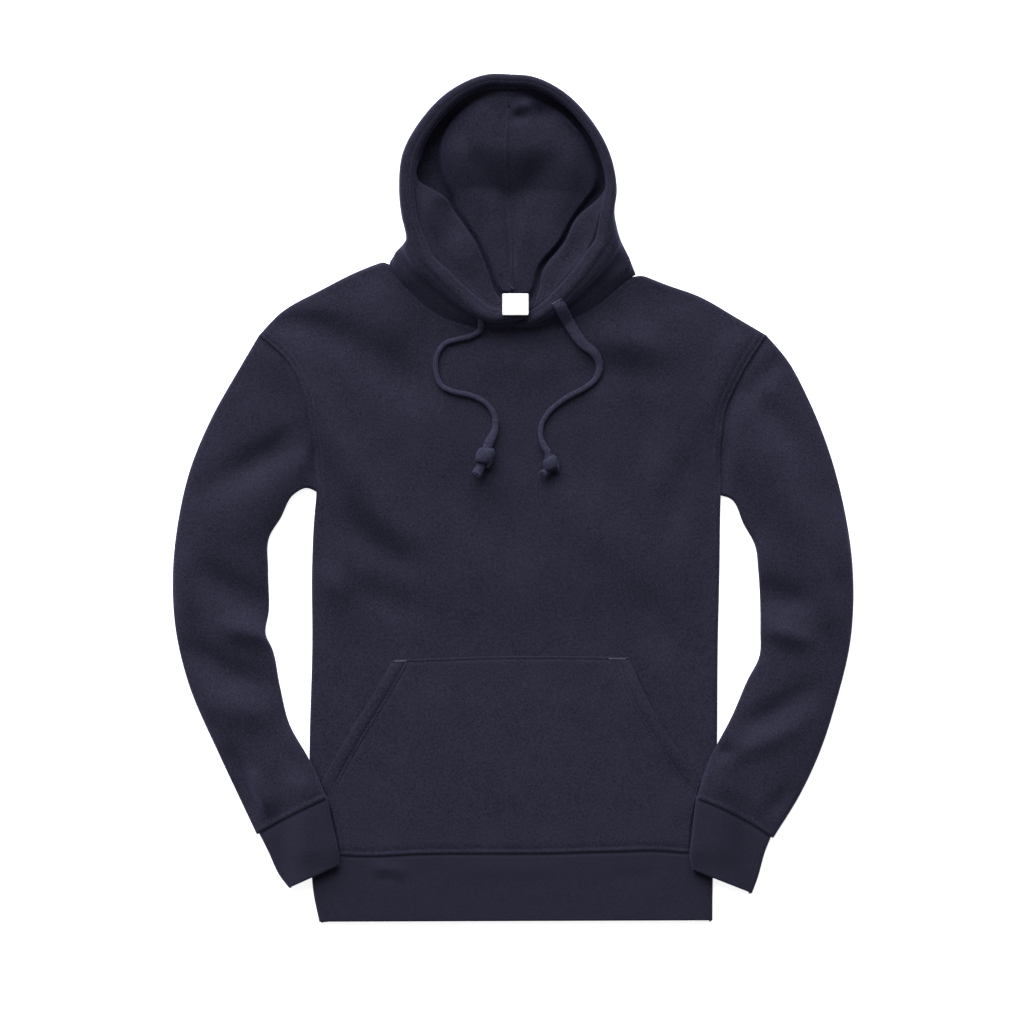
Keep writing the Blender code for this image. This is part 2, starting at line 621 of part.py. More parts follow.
def hood_lining(side, cloth):
    """Half of the hood's inside: down from the rim into a valley, then up to the centre seam."""
    name = {"R": "hood_lining_right", "L": "hood_lining_left"}[side]
    stations = spline(LINING_SECTIONS[side])
    centre_seam = spline(CENTRE_SEAM)
    columns = 18
    aside = {"R": -SEAM, "L": SEAM}[side]
    inset = 2 * CLOTH + 5 * SEAM

    def seam_x(y):
        shares = np.linspace(0, 1, 41)
        ys = [centre_seam(t)[1] for t in shares]
        xs = [centre_seam(t)[0] for t in shares]
        return float(np.interp(-y, [-value for value in ys], xs))

    def place(column, row):
        values = stations(column / columns)
        x, y, z, seam_y, seam_z = values[:5]
        lip, lip_z, valley, valley_z, edge, edge_z = values[5:]
        rim = np.array([x, y])
        foot = np.array([seam_x(seam_y) + aside, seam_y])
        reach = np.linalg.norm(foot - rim)
        raised = reach - edge
        distances = (inset, inset + 0.8, max(lip * 0.6, inset + 2.2), lip, (lip + valley) / 2,
                     valley, (valley + edge) / 2, edge, edge + raised * 0.3, edge + raised * 0.65,
                     reach)
        middle_z = max(seam_z, edge_z) + min(1.5, 0.03 * raised)
        heights = (z - 0.3, z - 2.6, z - (z - lip_z) * 0.62, lip_z, (lip_z + valley_z) / 2,
                   valley_z, valley_z + (edge_z - valley_z) * 0.62, edge_z,
                   (edge_z + middle_z) / 2, middle_z, seam_z)
        along = (foot - rim) / reach
        place_xy = rim + along * min(distances[row], reach)
        return place_xy[0], place_xy[1], heights[row]

    rows = 10
    if side == "R":
        shell(name, columns, rows, place, CLOTH, cloth, even=False)
    else:
        shell(name, columns, rows, lambda c, r: place(c, rows - r), CLOTH, cloth, even=False)


def neck_label(woven):
    """A blank tab that hangs from the back neck seam over the bottom of the hood."""
    columns, rows = 3, 3
    free_y, free_z = LABEL_FREE_EDGE

    def place(column, row):
        share = row / rows
        x = LABEL_CENTRE + (column / columns - 0.5) * LABEL_WIDTH
        return x, free_y + share * LABEL_HEIGHT, free_z + share * (LABEL_SEWN_EDGE_Z - free_z)

    shell("neck_label", columns, rows, place, LABEL_THICKNESS, woven)


# ---------------------------------------------------------------- drawcord

def cord_tube(name, points, radii, finish):
    """A round tube along the points, with its own radius at each."""
    curve = bpy.data.curves.new(name, "CURVE")
    curve.dimensions = "3D"
    curve.bevel_depth = CORD_RADIUS * MM
    curve.bevel_resolution = 2
    curve.render_resolution_u = 0
    curve.use_fill_caps = True
    path = curve.splines.new("POLY")
    path.points.add(len(points) - 1)
    for place, radius, (x, y, z) in zip(path.points, radii, points):
        place.co = (x * MM, (y - LENGTH_OVERALL / 2) * MM, z * MM, 1)
        place.radius = radius / CORD_RADIUS
    curve.materials.append(finish)
    piece = bpy.data.objects.new(name, curve)
    collection.objects.link(piece)


def cord_line(side):
    """The cord's middle line, which nowhere comes nearer to the front panel than it lies."""
    def resting(x, y):
        return front_height(x, y) + CORD_RADIUS + LAID_GAP

    rows = [(x, y, z + laid * resting(x, y)) for x, y, z, laid in CORD_ROUTES[side]]
    route = spline(tuple(rows))

    def at(share):
        x, y, z = route(share)
        return x, y, max(z, resting(x, y))

    return at


def drawcord(side, cord):
    name = {"R": "right_drawcord", "L": "left_drawcord"}[side]
    line = cord_line(side)
    points = [line(t) for t in np.linspace(0, 1, CORD_POINTS)]
    cord_tube(name, points, [CORD_RADIUS] * len(points), cord)


def cord_knot(side, cord):
    name = {"R": "right_cord_knot", "L": "left_cord_knot"}[side]
    points = [(x, y, front_height(x, y) + lift + LAID_GAP) for x, y, radius, lift in KNOTS[side]]
    line = cord_line(side)
    end = Vector(line(1))
    heading = (end - Vector(line(0.98))).normalized()
    points.insert(0, tuple(end + heading * 2 * SEAM))
    radii = [CORD_RADIUS] + [row[2] for row in KNOTS[side]]
    cord_tube(name, points, radii, cord)


for leftover in list(bpy.data.objects):
    bpy.data.objects.remove(leftover, do_unlink=True)
collection = bpy.data.collections.new("pullover_hoodie")
bpy.context.scene.collection.children.link(collection)

NECK_SAMPLES = [tuple(front_neck(side)(t)[:2]) for side in "RL" for t in np.linspace(0, 1, 12)]

back_panel(material("fleece_back", (0.024, 0.023, 0.038), 0.95))
front_panel(material("fleece_front", (0.026, 0.025, 0.042), 0.95))
kangaroo_pocket(material("fleece_pocket", (0.025, 0.024, 0.041), 0.95))
waistband(material("rib_waistband", (0.022, 0.021, 0.036), 0.9))
for wearer_side in "RL":
    sleeve(wearer_side, material("fleece_sleeve_" + wearer_side, (0.027, 0.026, 0.044), 0.95))
    cuff(wearer_side, material("rib_cuff_" + wearer_side, (0.023, 0.022, 0.038), 0.9))
    hood_panel(wearer_side, material("fleece_hood_" + wearer_side, (0.026, 0.025, 0.042), 0.95))
    hood_lining(wearer_side, material("fleece_lining_" + wearer_side, (0.024, 0.023, 0.039), 0.95))
    drawcord(wearer_side, material("knit_tape_" + wearer_side, (0.032, 0.032, 0.052), 0.85))
    cord_knot(wearer_side, material("knit_knot_" + wearer_side, (0.032, 0.032, 0.052), 0.85))
neck_label(material("woven_label", (0.8, 0.8, 0.78), 0.8))
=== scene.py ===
"""The look of a pullover hoodie in heavy navy fleece, laid on its back.

Tables are in millimetres in the garment's own plan, as in its pattern: x from the centre
line towards the wearer's left, y from the hem up to the hood, z up from the surface. R is
the wearer's right (-x) and L the wearer's left. Finished meshes are in metres.
"""

import bpy
import numpy as np
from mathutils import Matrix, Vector


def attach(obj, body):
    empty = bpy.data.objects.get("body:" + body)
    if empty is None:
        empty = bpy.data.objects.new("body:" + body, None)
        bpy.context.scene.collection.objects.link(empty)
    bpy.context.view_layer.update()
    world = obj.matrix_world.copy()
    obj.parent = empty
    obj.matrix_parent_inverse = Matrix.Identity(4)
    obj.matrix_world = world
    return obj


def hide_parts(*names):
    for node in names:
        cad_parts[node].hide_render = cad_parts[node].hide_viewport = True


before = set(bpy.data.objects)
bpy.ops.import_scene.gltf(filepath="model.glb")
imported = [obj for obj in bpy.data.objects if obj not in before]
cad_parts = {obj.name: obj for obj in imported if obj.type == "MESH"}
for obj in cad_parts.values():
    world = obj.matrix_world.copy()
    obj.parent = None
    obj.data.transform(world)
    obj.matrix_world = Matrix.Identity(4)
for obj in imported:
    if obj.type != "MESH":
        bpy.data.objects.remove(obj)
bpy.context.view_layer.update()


# ------------------------------------------------------------------ back
# One layer of fleece, face down, flat on the surface. The side seams join it to the front,
# the armhole seams to the sleeves and the neck seam to the hood. Only its edges show.

MM = 0.001
LENGTH_OVERALL = 924.0
CLOTH = 2.4
SEAM = 0.3
WAISTBAND_SEAM = 73.0
HEM_HALF_WIDTH = 220.0
SEAM_WAVES = ((-158, 42, -3.0), (95, 40, 1.8), (152, 34, 3.2))      # place, half width, rise
SIDE = {
    "R": ((-220, 73), (-222, 180), (-219, 300), (-219, 395), (-217, 438), (-214, 468)),
    "L": ((220, 73), (223, 180), (224, 300), (226, 395), (226.5, 438), (227, 465)),
}
ARMHOLE = {
    "R": ((-214, 468), (-217, 514), (-222, 547), (-230, 582), (-243, 608), (-277, 640)),
    "L": ((227, 465), (228, 531), (232, 558), (242, 581), (254, 604), (277, 640)),
}
SHOULDER = {
    "R": ((-277, 640), (-254, 664), (-210, 689), (-166, 711), (-137, 722)),
    "L": ((277, 640), (248, 657), (200, 684), (171, 694), (138, 707)),
}
NECK_BACK = {
    "R": ((-2, 690, 0), (-60, 692, 0), (-105, 703, 0), (-137, 721.5, 0)),
    "L": ((-2, 690, 0), (58, 692, 0), (104, 699, 0), (138, 706.5, 0)),
}
SIDE_SHARE = 0.68           # part of the body's height below the armhole
SHOULDER_SHARE = 0.25       # part of the body's width that one shoulder takes


def curve_through(rows):
    """A smooth curve through the rows, read at any array of shares of its length."""
    points = np.array(rows, float)
    steps = np.linalg.norm(np.diff(points[:, :3], axis=0), axis=1)
    knots = np.concatenate(([0.0], np.cumsum(steps))) / steps.sum()
    slopes = np.gradient(points, knots, axis=0)

    def at(share):
        share = np.asarray(share, float)
        k = np.clip(np.searchsorted(knots, share) - 1, 0, len(knots) - 2)
        span = (knots[k + 1] - knots[k])[..., None]
        t = (share - knots[k])[..., None] / span
        return ((2 * t**3 - 3 * t**2 + 1) * points[k] + (t**3 - 2 * t**2 + t) * span * slopes[k]
                + (3 * t**2 - 2 * t**3) * points[k + 1] + (t**3 - t**2) * span * slopes[k + 1])

    return at


def plan(curve):
    """The curve as it is seen from above, without its height."""
    return lambda share: curve(share)[..., :2]


def outline(edges, side):
    """One side's edge in plan, from a table that holds both sides."""
    return plan(curve_through(edges[side]))


def end_to_end(first, second, share):
    """Two curves as one, the first over the given share of the whole."""
    def at(t):
        t = np.asarray(t, float)
        return np.where((t <= share)[..., None], first(np.clip(t / share, 0, 1)),
                        second(np.clip((t - share) / (1 - share), 0, 1)))

    return at


def coons(bottom, top, start, end, u, v):
    """Points of the patch that four edge curves enclose, at grids of shares u and v."""
    a, b = u[..., None], v[..., None]
    corners = ((1 - a) * (1 - b) * bottom(0) + a * (1 - b) * bottom(1)
               + (1 - a) * b * top(0) + a * b * top(1))
    return (1 - b) * bottom(u) + b * top(u) + (1 - a) * start(v) + a * end(v) - corners


def shares_across(width, near, count):
    """Shares of a width: lines at the near distances from both edges, the rest even."""
    width = np.asarray(width, float).reshape(-1, 1)
    close = np.array(near, float)[None, :] / width
    first = close[:, -1:]
    inner = first + (1 - 2 * first) * np.linspace(0, 1, count + 1)[None, 1:-1]
    return np.concatenate([close, inner, 1 - close[:, ::-1]], axis=1)


def smooth_step(value):
    t = np.clip(value, 0, 1)
    return t * t * (3 - 2 * t)


def bell(distance, half_width):
    return np.exp(-(distance / half_width)**2)


def body_side(side):
    return end_to_end(outline(SIDE, side), outline(ARMHOLE, side), SIDE_SHARE)


def bells(distance, rows):
    """Sum of bell-shaped rises, by rows of place, half width and rise."""
    return sum(rise * bell(distance - place, half_width) for place, half_width, rise in rows)


def seam_wave(x):
    """How far the waistband seam wanders up or down."""
    return bells(x, SEAM_WAVES)


def body_hem(t):
    x = -HEM_HALF_WIDTH + 2 * HEM_HALF_WIDTH * np.asarray(t, float)
    return np.stack([x, WAISTBAND_SEAM + SEAM + seam_wave(x)], axis=-1)


def body_top(neck_curve):
    """Right shoulder, neckline and left shoulder as one edge from 0 to 1."""
    right, left = outline(SHOULDER, "R"), outline(SHOULDER, "L")

    def at(t):
        t = np.asarray(t, float)
        across = np.clip((t - SHOULDER_SHARE) / (1 - 2 * SHOULDER_SHARE), 0, 1)
        made = neck_curve(across)
        made = np.where((t < SHOULDER_SHARE)[..., None], right(np.clip(t / SHOULDER_SHARE, 0, 1)), made)
        return np.where((t > 1 - SHOULDER_SHARE)[..., None],
                        left(np.clip((1 - t) / SHOULDER_SHARE, 0, 1)), made)

    return at


def cloth_piece(name, points, thickness, finish, node, ring=False, shaped=None):
    """A wall of cloth whose outer face is the grid of points, standing for a solid.

    Its UV map is in metres of cloth, along the rows and columns of the grid.
    """
    rows, columns = points.shape[:2]
    placed = (points - np.array([0, LENGTH_OVERALL / 2, 0])) * MM
    spans = columns if ring else columns - 1
    r, c = [k.ravel() for k in np.meshgrid(np.arange(rows - 1), np.arange(spans), indexing="ij")]
    after = (c + 1) % columns
    faces = np.stack([r * columns + c, r * columns + after,
                      (r + 1) * columns + after, (r + 1) * columns + c], axis=1)
    loop = np.concatenate([placed, placed[:, :1]], axis=1) if ring else placed
    along_row = np.linalg.norm(np.diff(loop[rows // 2], axis=0), axis=1)
    along_column = np.linalg.norm(np.diff(placed[:, columns // 2], axis=0), axis=1)
    u = np.concatenate(([0.0], np.cumsum(along_row)))
    v = np.concatenate(([0.0], np.cumsum(along_column)))
    uv = np.stack([np.stack([u[c], v[r]], 1), np.stack([u[c + 1], v[r]], 1),
                   np.stack([u[c + 1], v[r + 1]], 1), np.stack([u[c], v[r + 1]], 1)], axis=1)
    flat = placed.reshape(-1, 3)
    corners = flat[faces]
    normals = np.cross(corners[:, 2] - corners[:, 0], corners[:, 3] - corners[:, 1])
    highest = corners[:, :, 2].mean(axis=1).argsort()[-20:]
    if normals[highest, 2].sum() < 0:
        faces, uv = faces[:, ::-1], uv[:, ::-1]
    mesh = bpy.data.meshes.new(name)
    mesh.from_pydata(flat.tolist(), [], faces.tolist())
    mesh.uv_layers.new(name="UVMap").data.foreach_set("uv", uv.reshape(-1).astype(np.float32))
    mesh.materials.append(finish)
    mesh.shade_smooth()
    piece = bpy.data.objects.new(name, mesh)
    bpy.context.scene.collection.objects.link(piece)
    if shaped:
        shaped(piece, u[:-1] if ring else u, rows)
    wall = piece.modifiers.new("Cloth", "SOLIDIFY")
    wall.thickness, wall.offset, wall.use_even_offset = thickness * MM, -1, False
    if not shaped:
        soft = piece.modifiers.new("Soft", "SUBSURF")
        soft.levels = soft.render_levels = 1
    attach(piece, "root")
    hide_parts(node)
    return piece


def new_material(name, roughness):
    made = bpy.data.materials.new(name)
    made.use_nodes = True
    shader = made.node_tree.nodes["Principled BSDF"]
    shader.inputs["Roughness"].default_value = roughness
    shader.inputs["Specular IOR Level"].default_value = 0.15
    return made, made.node_tree, shader


def noise(tree, scale, detail, stretch=(1, 1, 1), coordinates="Object"):
    """A noise texture in metres, stretched along the axes as cloth is along its grain."""
    place = tree.nodes.new("ShaderNodeTexCoord")
    mapping = tree.nodes.new("ShaderNodeMapping")
    mapping.inputs["Scale"].default_value = stretch
    texture = tree.nodes.new("ShaderNodeTexNoise")
    texture.inputs["Scale"].default_value = scale
    texture.inputs["Detail"].default_value = detail
    tree.links.new(place.outputs[coordinates], mapping.inputs["Vector"])
    tree.links.new(mapping.outputs["Vector"], texture.inputs["Vector"])
    return texture.outputs["Fac"]


def mixed(tree, first, second, share):
    mix = tree.nodes.new("ShaderNodeMix")
    mix.inputs["Factor"].default_value = share
    tree.links.new(first, mix.inputs["A"])
    tree.links.new(second, mix.inputs["B"])
    return mix.outputs["Result"]


def tinted(tree, shader, factor, dark, light):
    """Colour that wanders between two tones where the factor does."""
    ramp = tree.nodes.new("ShaderNodeValToRGB")
    ramp.color_ramp.elements[0].position, ramp.color_ramp.elements[1].position = 0.34, 0.66
    ramp.color_ramp.elements[0].color = (*dark, 1)
    ramp.color_ramp.elements[1].color = (*light, 1)
    tree.links.new(factor, ramp.inputs["Fac"])
    tree.links.new(ramp.outputs["Color"], shader.inputs["Base Color"])


def raised(tree, shader, layers):
    """Bump from several heights: (height, depth in metres, strength) each."""
    normal = None
    for height, depth, strength in layers:
        bump = tree.nodes.new("ShaderNodeBump")
        bump.inputs["Distance"].default_value = depth
        bump.inputs["Strength"].default_value = strength
        tree.links.new(height, bump.inputs["Height"])
        if normal:
            tree.links.new(normal, bump.inputs["Normal"])
        normal = bump.outputs["Normal"]
    tree.links.new(normal, shader.inputs["Normal"])


def fleece(name, colour, mottle=0.55):
    """Heavy cotton fleece: a matt, faintly hairy face with pills and slubs a millimetre across."""
    made, tree, shader = new_material(name, 0.95)
    shader.inputs["Specular IOR Level"].default_value = 0.08
    shader.inputs["Sheen Weight"].default_value = 0.13
    shader.inputs["Sheen Roughness"].default_value = 0.5
    shader.inputs["Sheen Tint"].default_value = (0.42, 0.43, 0.95, 1)
    specks = noise(tree, 950, 3)
    slubs = noise(tree, 520, 3, (1, 0.8, 1))
    clouds = noise(tree, 38, 4)
    tone = mixed(tree, mixed(tree, specks, slubs, 0.5), clouds, 0.12)
    tinted(tree, shader, tone, [c * (1 - mottle) for c in colour], [c * (1 + mottle) for c in colour])
    grain = noise(tree, 900, 2, (1, 0.35, 1), "UV")
    raised(tree, shader, ((slubs, 0.0010, 0.45), (grain, 0.0006, 0.6)))
    return made


NAVY = (0.0172, 0.0167, 0.0300)
body_fleece = fleece("fleece_body", NAVY)

rows_up = np.concatenate([np.linspace(0, SIDE_SHARE, 16), np.linspace(SIDE_SHARE, 1, 9)[1:]])
share_v, share_u = np.meshgrid(rows_up, np.linspace(0, 1, 33), indexing="ij")
neck_back = end_to_end(lambda t: outline(NECK_BACK, "R")(1 - t), outline(NECK_BACK, "L"), 0.5)
back_xy = coons(body_hem, body_top(neck_back), body_side("R"), body_side("L"), share_u, share_v)
back_points = np.dstack([back_xy, np.full(back_xy.shape[:2], CLOTH)])
back = cloth_piece("back", back_points, CLOTH, body_fleece, "back_panel")


# ------------------------------------------------------------------ front
# One layer of the same fleece, face up, laid on the back and turned down to it along the
# side and shoulder seams. It rises to the neck seam and keeps soft folds from the shoulders.

LAID = 8.6                  # height of two layers that lie on each other
LOWEST = 5.6                # where a trough presses the front onto the back
SOFT_BEND = 1.6
LOFT = 5.0                  # air between the layers over the chest
LOFT_FROM_POCKET = 110.0    # how far from the pocket's top, the neck and the edges it is full
LOFT_FROM_NECK = 60.0
LOFT_FROM_EDGE = 45.0
POCKET_CALM = 0.7           # share of the folds' height that the pocket smooths away
NECK_FOLDS = 0.15           # share of it that is left at the neck seam
NECK_RISE = 3.9
NECK_RISE_REACH = 26.0
FRONT_EDGE = 3.9
ROLL = 6.0
FURROW_DEPTH = 0.55
FURROW_WIDTH = 1.0
SEAM_PROFILE = ((3.4, 1.7, 0.8), (0.0, 1.2, -0.6), (7.0, 1.1, -0.5))    # as SEAM_WAVES
SHOULDER_FADE = 0.004
ARMHOLE_ROWS_REACH = 14.0
ARMHOLE_DIP = 0.7
NECK_DIP = 0.5
DIP_WIDTH = 1.4
CHEST_WIDTH = 450.0
BODY_HEIGHT = 580.0
ARMPIT = 440.0
FOLD_FADE = 22.0
POCKET_TOP_HEIGHT = 292.0
POCKET_HALF_WIDTH = 205.0
NECK_FRONT = {
    "R": ((-137, 721.5, 5.5), (-131, 710, 10.5), (-107, 684, 12.5), (-86, 666, 12.5),
          (-34, 648.5, 12.5), (-2, 647, 12.5)),
    "L": ((138, 706.5, 5.5), (127, 702, 10.5), (105, 684, 12.5), (79, 665, 12.5),
          (41, 651.5, 12.5), (-2, 647, 12.5)),
}
# Folds along bowed lines: start, middle and end (x, y), half width, height
BODY_FOLDS = (
    (-250, 652, -204, 515, -108, 396, 19, 12.0),
    (-268, 660, -190, 656, -96, 572, 17, -9.0),
    (-165, 622, -130, 596, -96, 566, 20, -3.0),
    (-262, 662, -225, 664, -190, 672, 11, 4.0),
    (-152, 700, -142, 665, -124, 622, 16, 6.5),
    (-112, 640, -104, 610, -88, 560, 18, -5.0),
    (-208, 382, -196, 370, -182, 350, 14, 6.0),
    (-196, 450, -150, 402, -92, 386, 17, -7.5),
    (-176, 372, -140, 350, -100, 332, 18, -6.0),
    (-40, 616, 10, 612, 56, 602, 20, 5.0),
    (78, 640, 120, 636, 176, 622, 18, 7.5),
    (60, 606, 110, 600, 168, 590, 18, -5.5),
    (250, 636, 226, 596, 214, 540, 15, 6.5),
    (128, 590, 150, 545, 150, 490, 22, -6.5),
    (196, 516, 176, 470, 178, 420, 18, -5.5),
    (40, 470, 90, 440, 130, 380, 28, 5.0),
    (-90, 500, -40, 440, 20, 400, 32, -5.0),
    (140, 362, 152, 330, 166, 296, 18, -6.0),
    (146, 268, 166, 232, 196, 182, 11, -3.6),
    (-218, 520, -216, 500, -214, 476, 5, -4.0),
    (230, 530, 228, 500, 227, 474, 5, -4.0),
)


def nearest_to(points, x, y):
    """Distance in plan from each place to the nearest of the points."""
    best = np.full(np.shape(x), np.inf)
    for px, py in points:
        best = np.minimum(best, np.hypot(x - px, y - py))
    return best


def folds_at(folds, x, y):
    """Height that the folds add; each is bell-shaped across and tapers towards its ends."""
    total = np.zeros(np.shape(x))
    t = np.linspace(0, 1, 25)
    swell = 1 - abs(2 * t - 1)**3
    for x0, y0, x1, y1, x2, y2, half_width, height in folds:
        line = np.stack([(1 - t)**2 * x0 + 2 * t * (1 - t) * x1 + t * t * x2,
                         (1 - t)**2 * y0 + 2 * t * (1 - t) * y1 + t * t * y2], axis=1)
        from_middle = np.linalg.norm(line - line[len(t) // 2], axis=1)
        whole = (swell * bell(from_middle, half_width)).sum()
        for (px, py), part in zip(line, swell):
            total += height * part / whole * bell(np.hypot(x - px, y - py), half_width)
    return total


even = np.linspace(0, 1, 40)
neck_line = np.concatenate([curve_through(NECK_FRONT[side])(even)[:, :2] for side in "RL"])
armhole_line = {side: curve_through(ARMHOLE[side])(even) for side in "RL"}
body_edge = np.concatenate([body_side(side)(np.linspace(0, 1, 60)) for side in "RL"]
                           + [curve_through(SHOULDER[side])(even[::2]) for side in "RL"])


def not_below(height, lowest):
    """The height, kept above the lowest with a soft bend."""
    over = height - lowest
    return lowest + 0.5 * (over + np.sqrt(over * over + SOFT_BEND))


def front_height(x, y):
    """Top of the front, away from its turned edges."""
    from_neck = nearest_to(neck_line, x, y)
    rise = NECK_RISE * bell(from_neck, NECK_RISE_REACH)
    under_pocket = (smooth_step((POCKET_TOP_HEIGHT - y) / FOLD_FADE)
                    * smooth_step((POCKET_HALF_WIDTH - abs(x)) / FOLD_FADE))
    by_neck = NECK_FOLDS + (1 - NECK_FOLDS) * smooth_step(from_neck / FOLD_FADE)
    calm = (1.0 - POCKET_CALM * under_pocket) * by_neck
    loft = LOFT * (smooth_step((y - POCKET_TOP_HEIGHT) / LOFT_FROM_POCKET)
                   * smooth_step(from_neck / LOFT_FROM_NECK)
                   * smooth_step(nearest_to(body_edge, x, y) / LOFT_FROM_EDGE))
    return not_below(LAID + rise + loft + calm * folds_at(BODY_FOLDS, x, y), LOWEST)


def turned(distance, amount):
    """Share of the height that is left where cloth turns down at an edge."""
    inward = np.clip(distance / ROLL, 0, 1)
    return 1 - amount * (1 - np.sqrt(1 - (1 - inward)**2))


def beside(curve, distance):
    """The curve moved sideways in plan; a positive distance is to its left."""
    step = 1e-3

    def at(t):
        t = np.asarray(t, float)
        along = (curve(np.clip(t + step, 0, 1)) - curve(np.clip(t - step, 0, 1)))[..., :2]
        along = along / np.linalg.norm(along, axis=-1, keepdims=True)
        point = np.array(curve(t))
        point[..., 0] -= along[..., 1] * distance
        point[..., 1] += along[..., 0] * distance
        return point

    return at


def stitch_furrow(distance, at):
    """Cloth drawn down by a row of stitches at a distance from an edge."""
    return -FURROW_DEPTH * bell(distance - at, FURROW_WIDTH)


def seam_ridge(distance):
    """Cloth turned down at a seam, lifted by its allowances and drawn in by the row above them."""
    return bells(distance, SEAM_PROFILE)


ARMHOLE_STITCHES = (2.6, 8.0)
NECK_STITCHES = (2.4, 7.6)
neck_front = end_to_end(
    plan(beside(curve_through(NECK_FRONT["R"]), -2 * SEAM)),
    lambda t: plan(beside(curve_through(NECK_FRONT["L"]), 2 * SEAM))(1 - t), 0.5)
near_edge = (0, 0.5, 1.2, 2.0, 2.7, 3.4, 4.6, 6, 7.2, 8.1, 9.0, 11)
across = shares_across([CHEST_WIDTH], near_edge, 74)[0]
near_ends = np.array([0, 0.8, 1.6, 2.4, 3.2, 4.2, 5.6, 7, 7.8, 8.6, 10, 13]) / BODY_HEIGHT
up_body = np.concatenate([near_ends, np.linspace(0.03, 0.97, 88), 1 - near_ends[::-1]])
share_v, share_u = np.meshgrid(up_body, across, indexing="ij")
front_xy = coons(body_hem, body_top(neck_front), body_side("R"), body_side("L"), share_u, share_v)
x, y = front_xy[..., 0], front_xy[..., 1]
side_turn = 1 - smooth_step((y - ARMPIT) / NECK_RISE_REACH)
from_side = np.minimum(share_u, 1 - share_u)
height = turned(from_side * CHEST_WIDTH, side_turn)
at_shoulder = smooth_step((SHOULDER_SHARE - from_side) / SHOULDER_FADE + 1)
height = height * (1 - at_shoulder + at_shoulder * turned((1 - share_v) * BODY_HEIGHT, 1))
front_z = (FRONT_EDGE + (front_height(x, y) - FRONT_EDGE) * height
           + seam_ridge(y - WAISTBAND_SEAM - seam_wave(x)))
from_armhole = np.minimum(*[nearest_to(armhole_line[side], x, y) for side in "RL"])
from_neck = nearest_to(neck_line, x, y)
by_armhole = (1 - side_turn) * (from_armhole < ARMHOLE_ROWS_REACH)
for row in ARMHOLE_STITCHES:
    front_z += stitch_furrow(from_side * CHEST_WIDTH, row) * by_armhole
for row in NECK_STITCHES:
    front_z += stitch_furrow(from_neck, row)
front_z -= ARMHOLE_DIP * bell(from_armhole, DIP_WIDTH) + NECK_DIP * bell(from_neck, DIP_WIDTH)
front = cloth_piece("front", np.dstack([x, y, front_z]), CLOTH, body_fleece, "front_panel")


# ------------------------------------------------------------------ kangaroo pocket
# One layer of fleece on the front: its slanted mouths are hemmed and left open, its top is
# turned in and sewn down, and its lower edge is caught in the waistband seam.

POCKET_SIDE_SHARE = 0.36
POCKET_HEIGHT = 215.0
POCKET_TOP = ((-131, 286), (-2, 290), (127, 289))
POCKET_MOUTH = {
    "R": ((-209, 152), (-188, 190), (-150, 253), (-131, 286)),
    "L": ((205, 152), (182, 185), (141, 255), (127, 289)),
}
POCKET_SIDE = {
    "R": ((-188, 71.8), (-194, 105), (-209, 152)),
    "L": ((192, 74.4), (194, 105), (205, 152)),
}
POCKET_WIDTH = 413.0
POCKET_TOP_WIDTH = 258.0
MOUTH_SLANT = 0.87          # distance in from a slanted mouth against the same across
MOUTH_STITCHES = (13.6, 17.6)
TOP_STITCHES = 3.8
MOUTH_LIFT = {"R": 1.8, "L": 5.0}       # how far each open mouth stands off the front
MOUTH_LIFT_WIDTH = 20.0
MOUTH_OPEN = (150, 40, 288, 34)         # levels it is open between, each with its fade
MOUTH_HEM = (8.0, 5.0, 0.9)             # place, half width and rise of the turned hem
MOUTH_HEM_FROM = (140, 20)
MOUTH_FURROW = 1.7                      # its furrows, and the top's, against a plain one
TOP_FURROW = 1.4
CAUGHT_SHARE = 0.35                     # thickness left where the lower edge is caught
CAUGHT_REACH = 12.0
EDGE_DIPS = {"top": (1.2, -0.7), "mouth": (1.3, -0.8), "side": (2.0, -0.9)}     # half width, rise
PUFF = 1.6
PUFF_LEVELS = (90, 60, 280, 50)
PUFF_HALF_WIDTH = 190.0
PUFF_FADE = 90.0


def pocket_edge(side):
    return end_to_end(outline(POCKET_SIDE, side), outline(POCKET_MOUTH, side), POCKET_SIDE_SHARE)


def edge_dip(edge, distance):
    """How far the cloth is drawn down along one of the pocket's sewn or turned edges."""
    half_width, rise = EDGE_DIPS[edge]
    return rise * bell(distance, half_width)


def between(y, low, low_fade, high, high_fade):
    """1 between two levels, faded to 0 at each over its own reach."""
    return smooth_step((y - low) / low_fade) * smooth_step((high - y) / high_fade)


def pocket_hem(t):
    right, left = pocket_edge("R")(0), pocket_edge("L")(0)
    t = np.asarray(t, float)
    point = right + (left - right) * t[..., None]
    point[..., 1] += seam_wave(point[..., 0]) - seam_wave(right[0]) * (1 - t) - seam_wave(left[0]) * t
    return point


near_top = np.array([0, 0.7, 1.6, 2.6, 3.3, 3.9, 4.6, 6, 9]) / POCKET_HEIGHT
pocket_up = np.concatenate([near_ends[:8] * BODY_HEIGHT / POCKET_HEIGHT, np.linspace(0.05, 0.94, 46),
                            1 - near_top[::-1]])
up_mouth = np.clip((pocket_up - POCKET_SIDE_SHARE) / (1 - POCKET_SIDE_SHARE), 0, 1)
pocket_width = POCKET_WIDTH - (POCKET_WIDTH - POCKET_TOP_WIDTH) * up_mouth
near_mouth = np.array([0, 0.8, 1.8, 3.2, 6, 9.5, 12, 13, 13.6, 14.2, 15.4, 16.8, 17.6, 18.4, 20])
near_mouth = near_mouth / MOUTH_SLANT
share_u = shares_across(pocket_width, near_mouth, 40)
share_v = np.repeat(pocket_up[:, None], share_u.shape[1], axis=1)
pocket_xy = coons(pocket_hem, plan(curve_through(POCKET_TOP)), pocket_edge("R"), pocket_edge("L"),
                  share_u, share_v)
x, y = pocket_xy[..., 0], pocket_xy[..., 1]
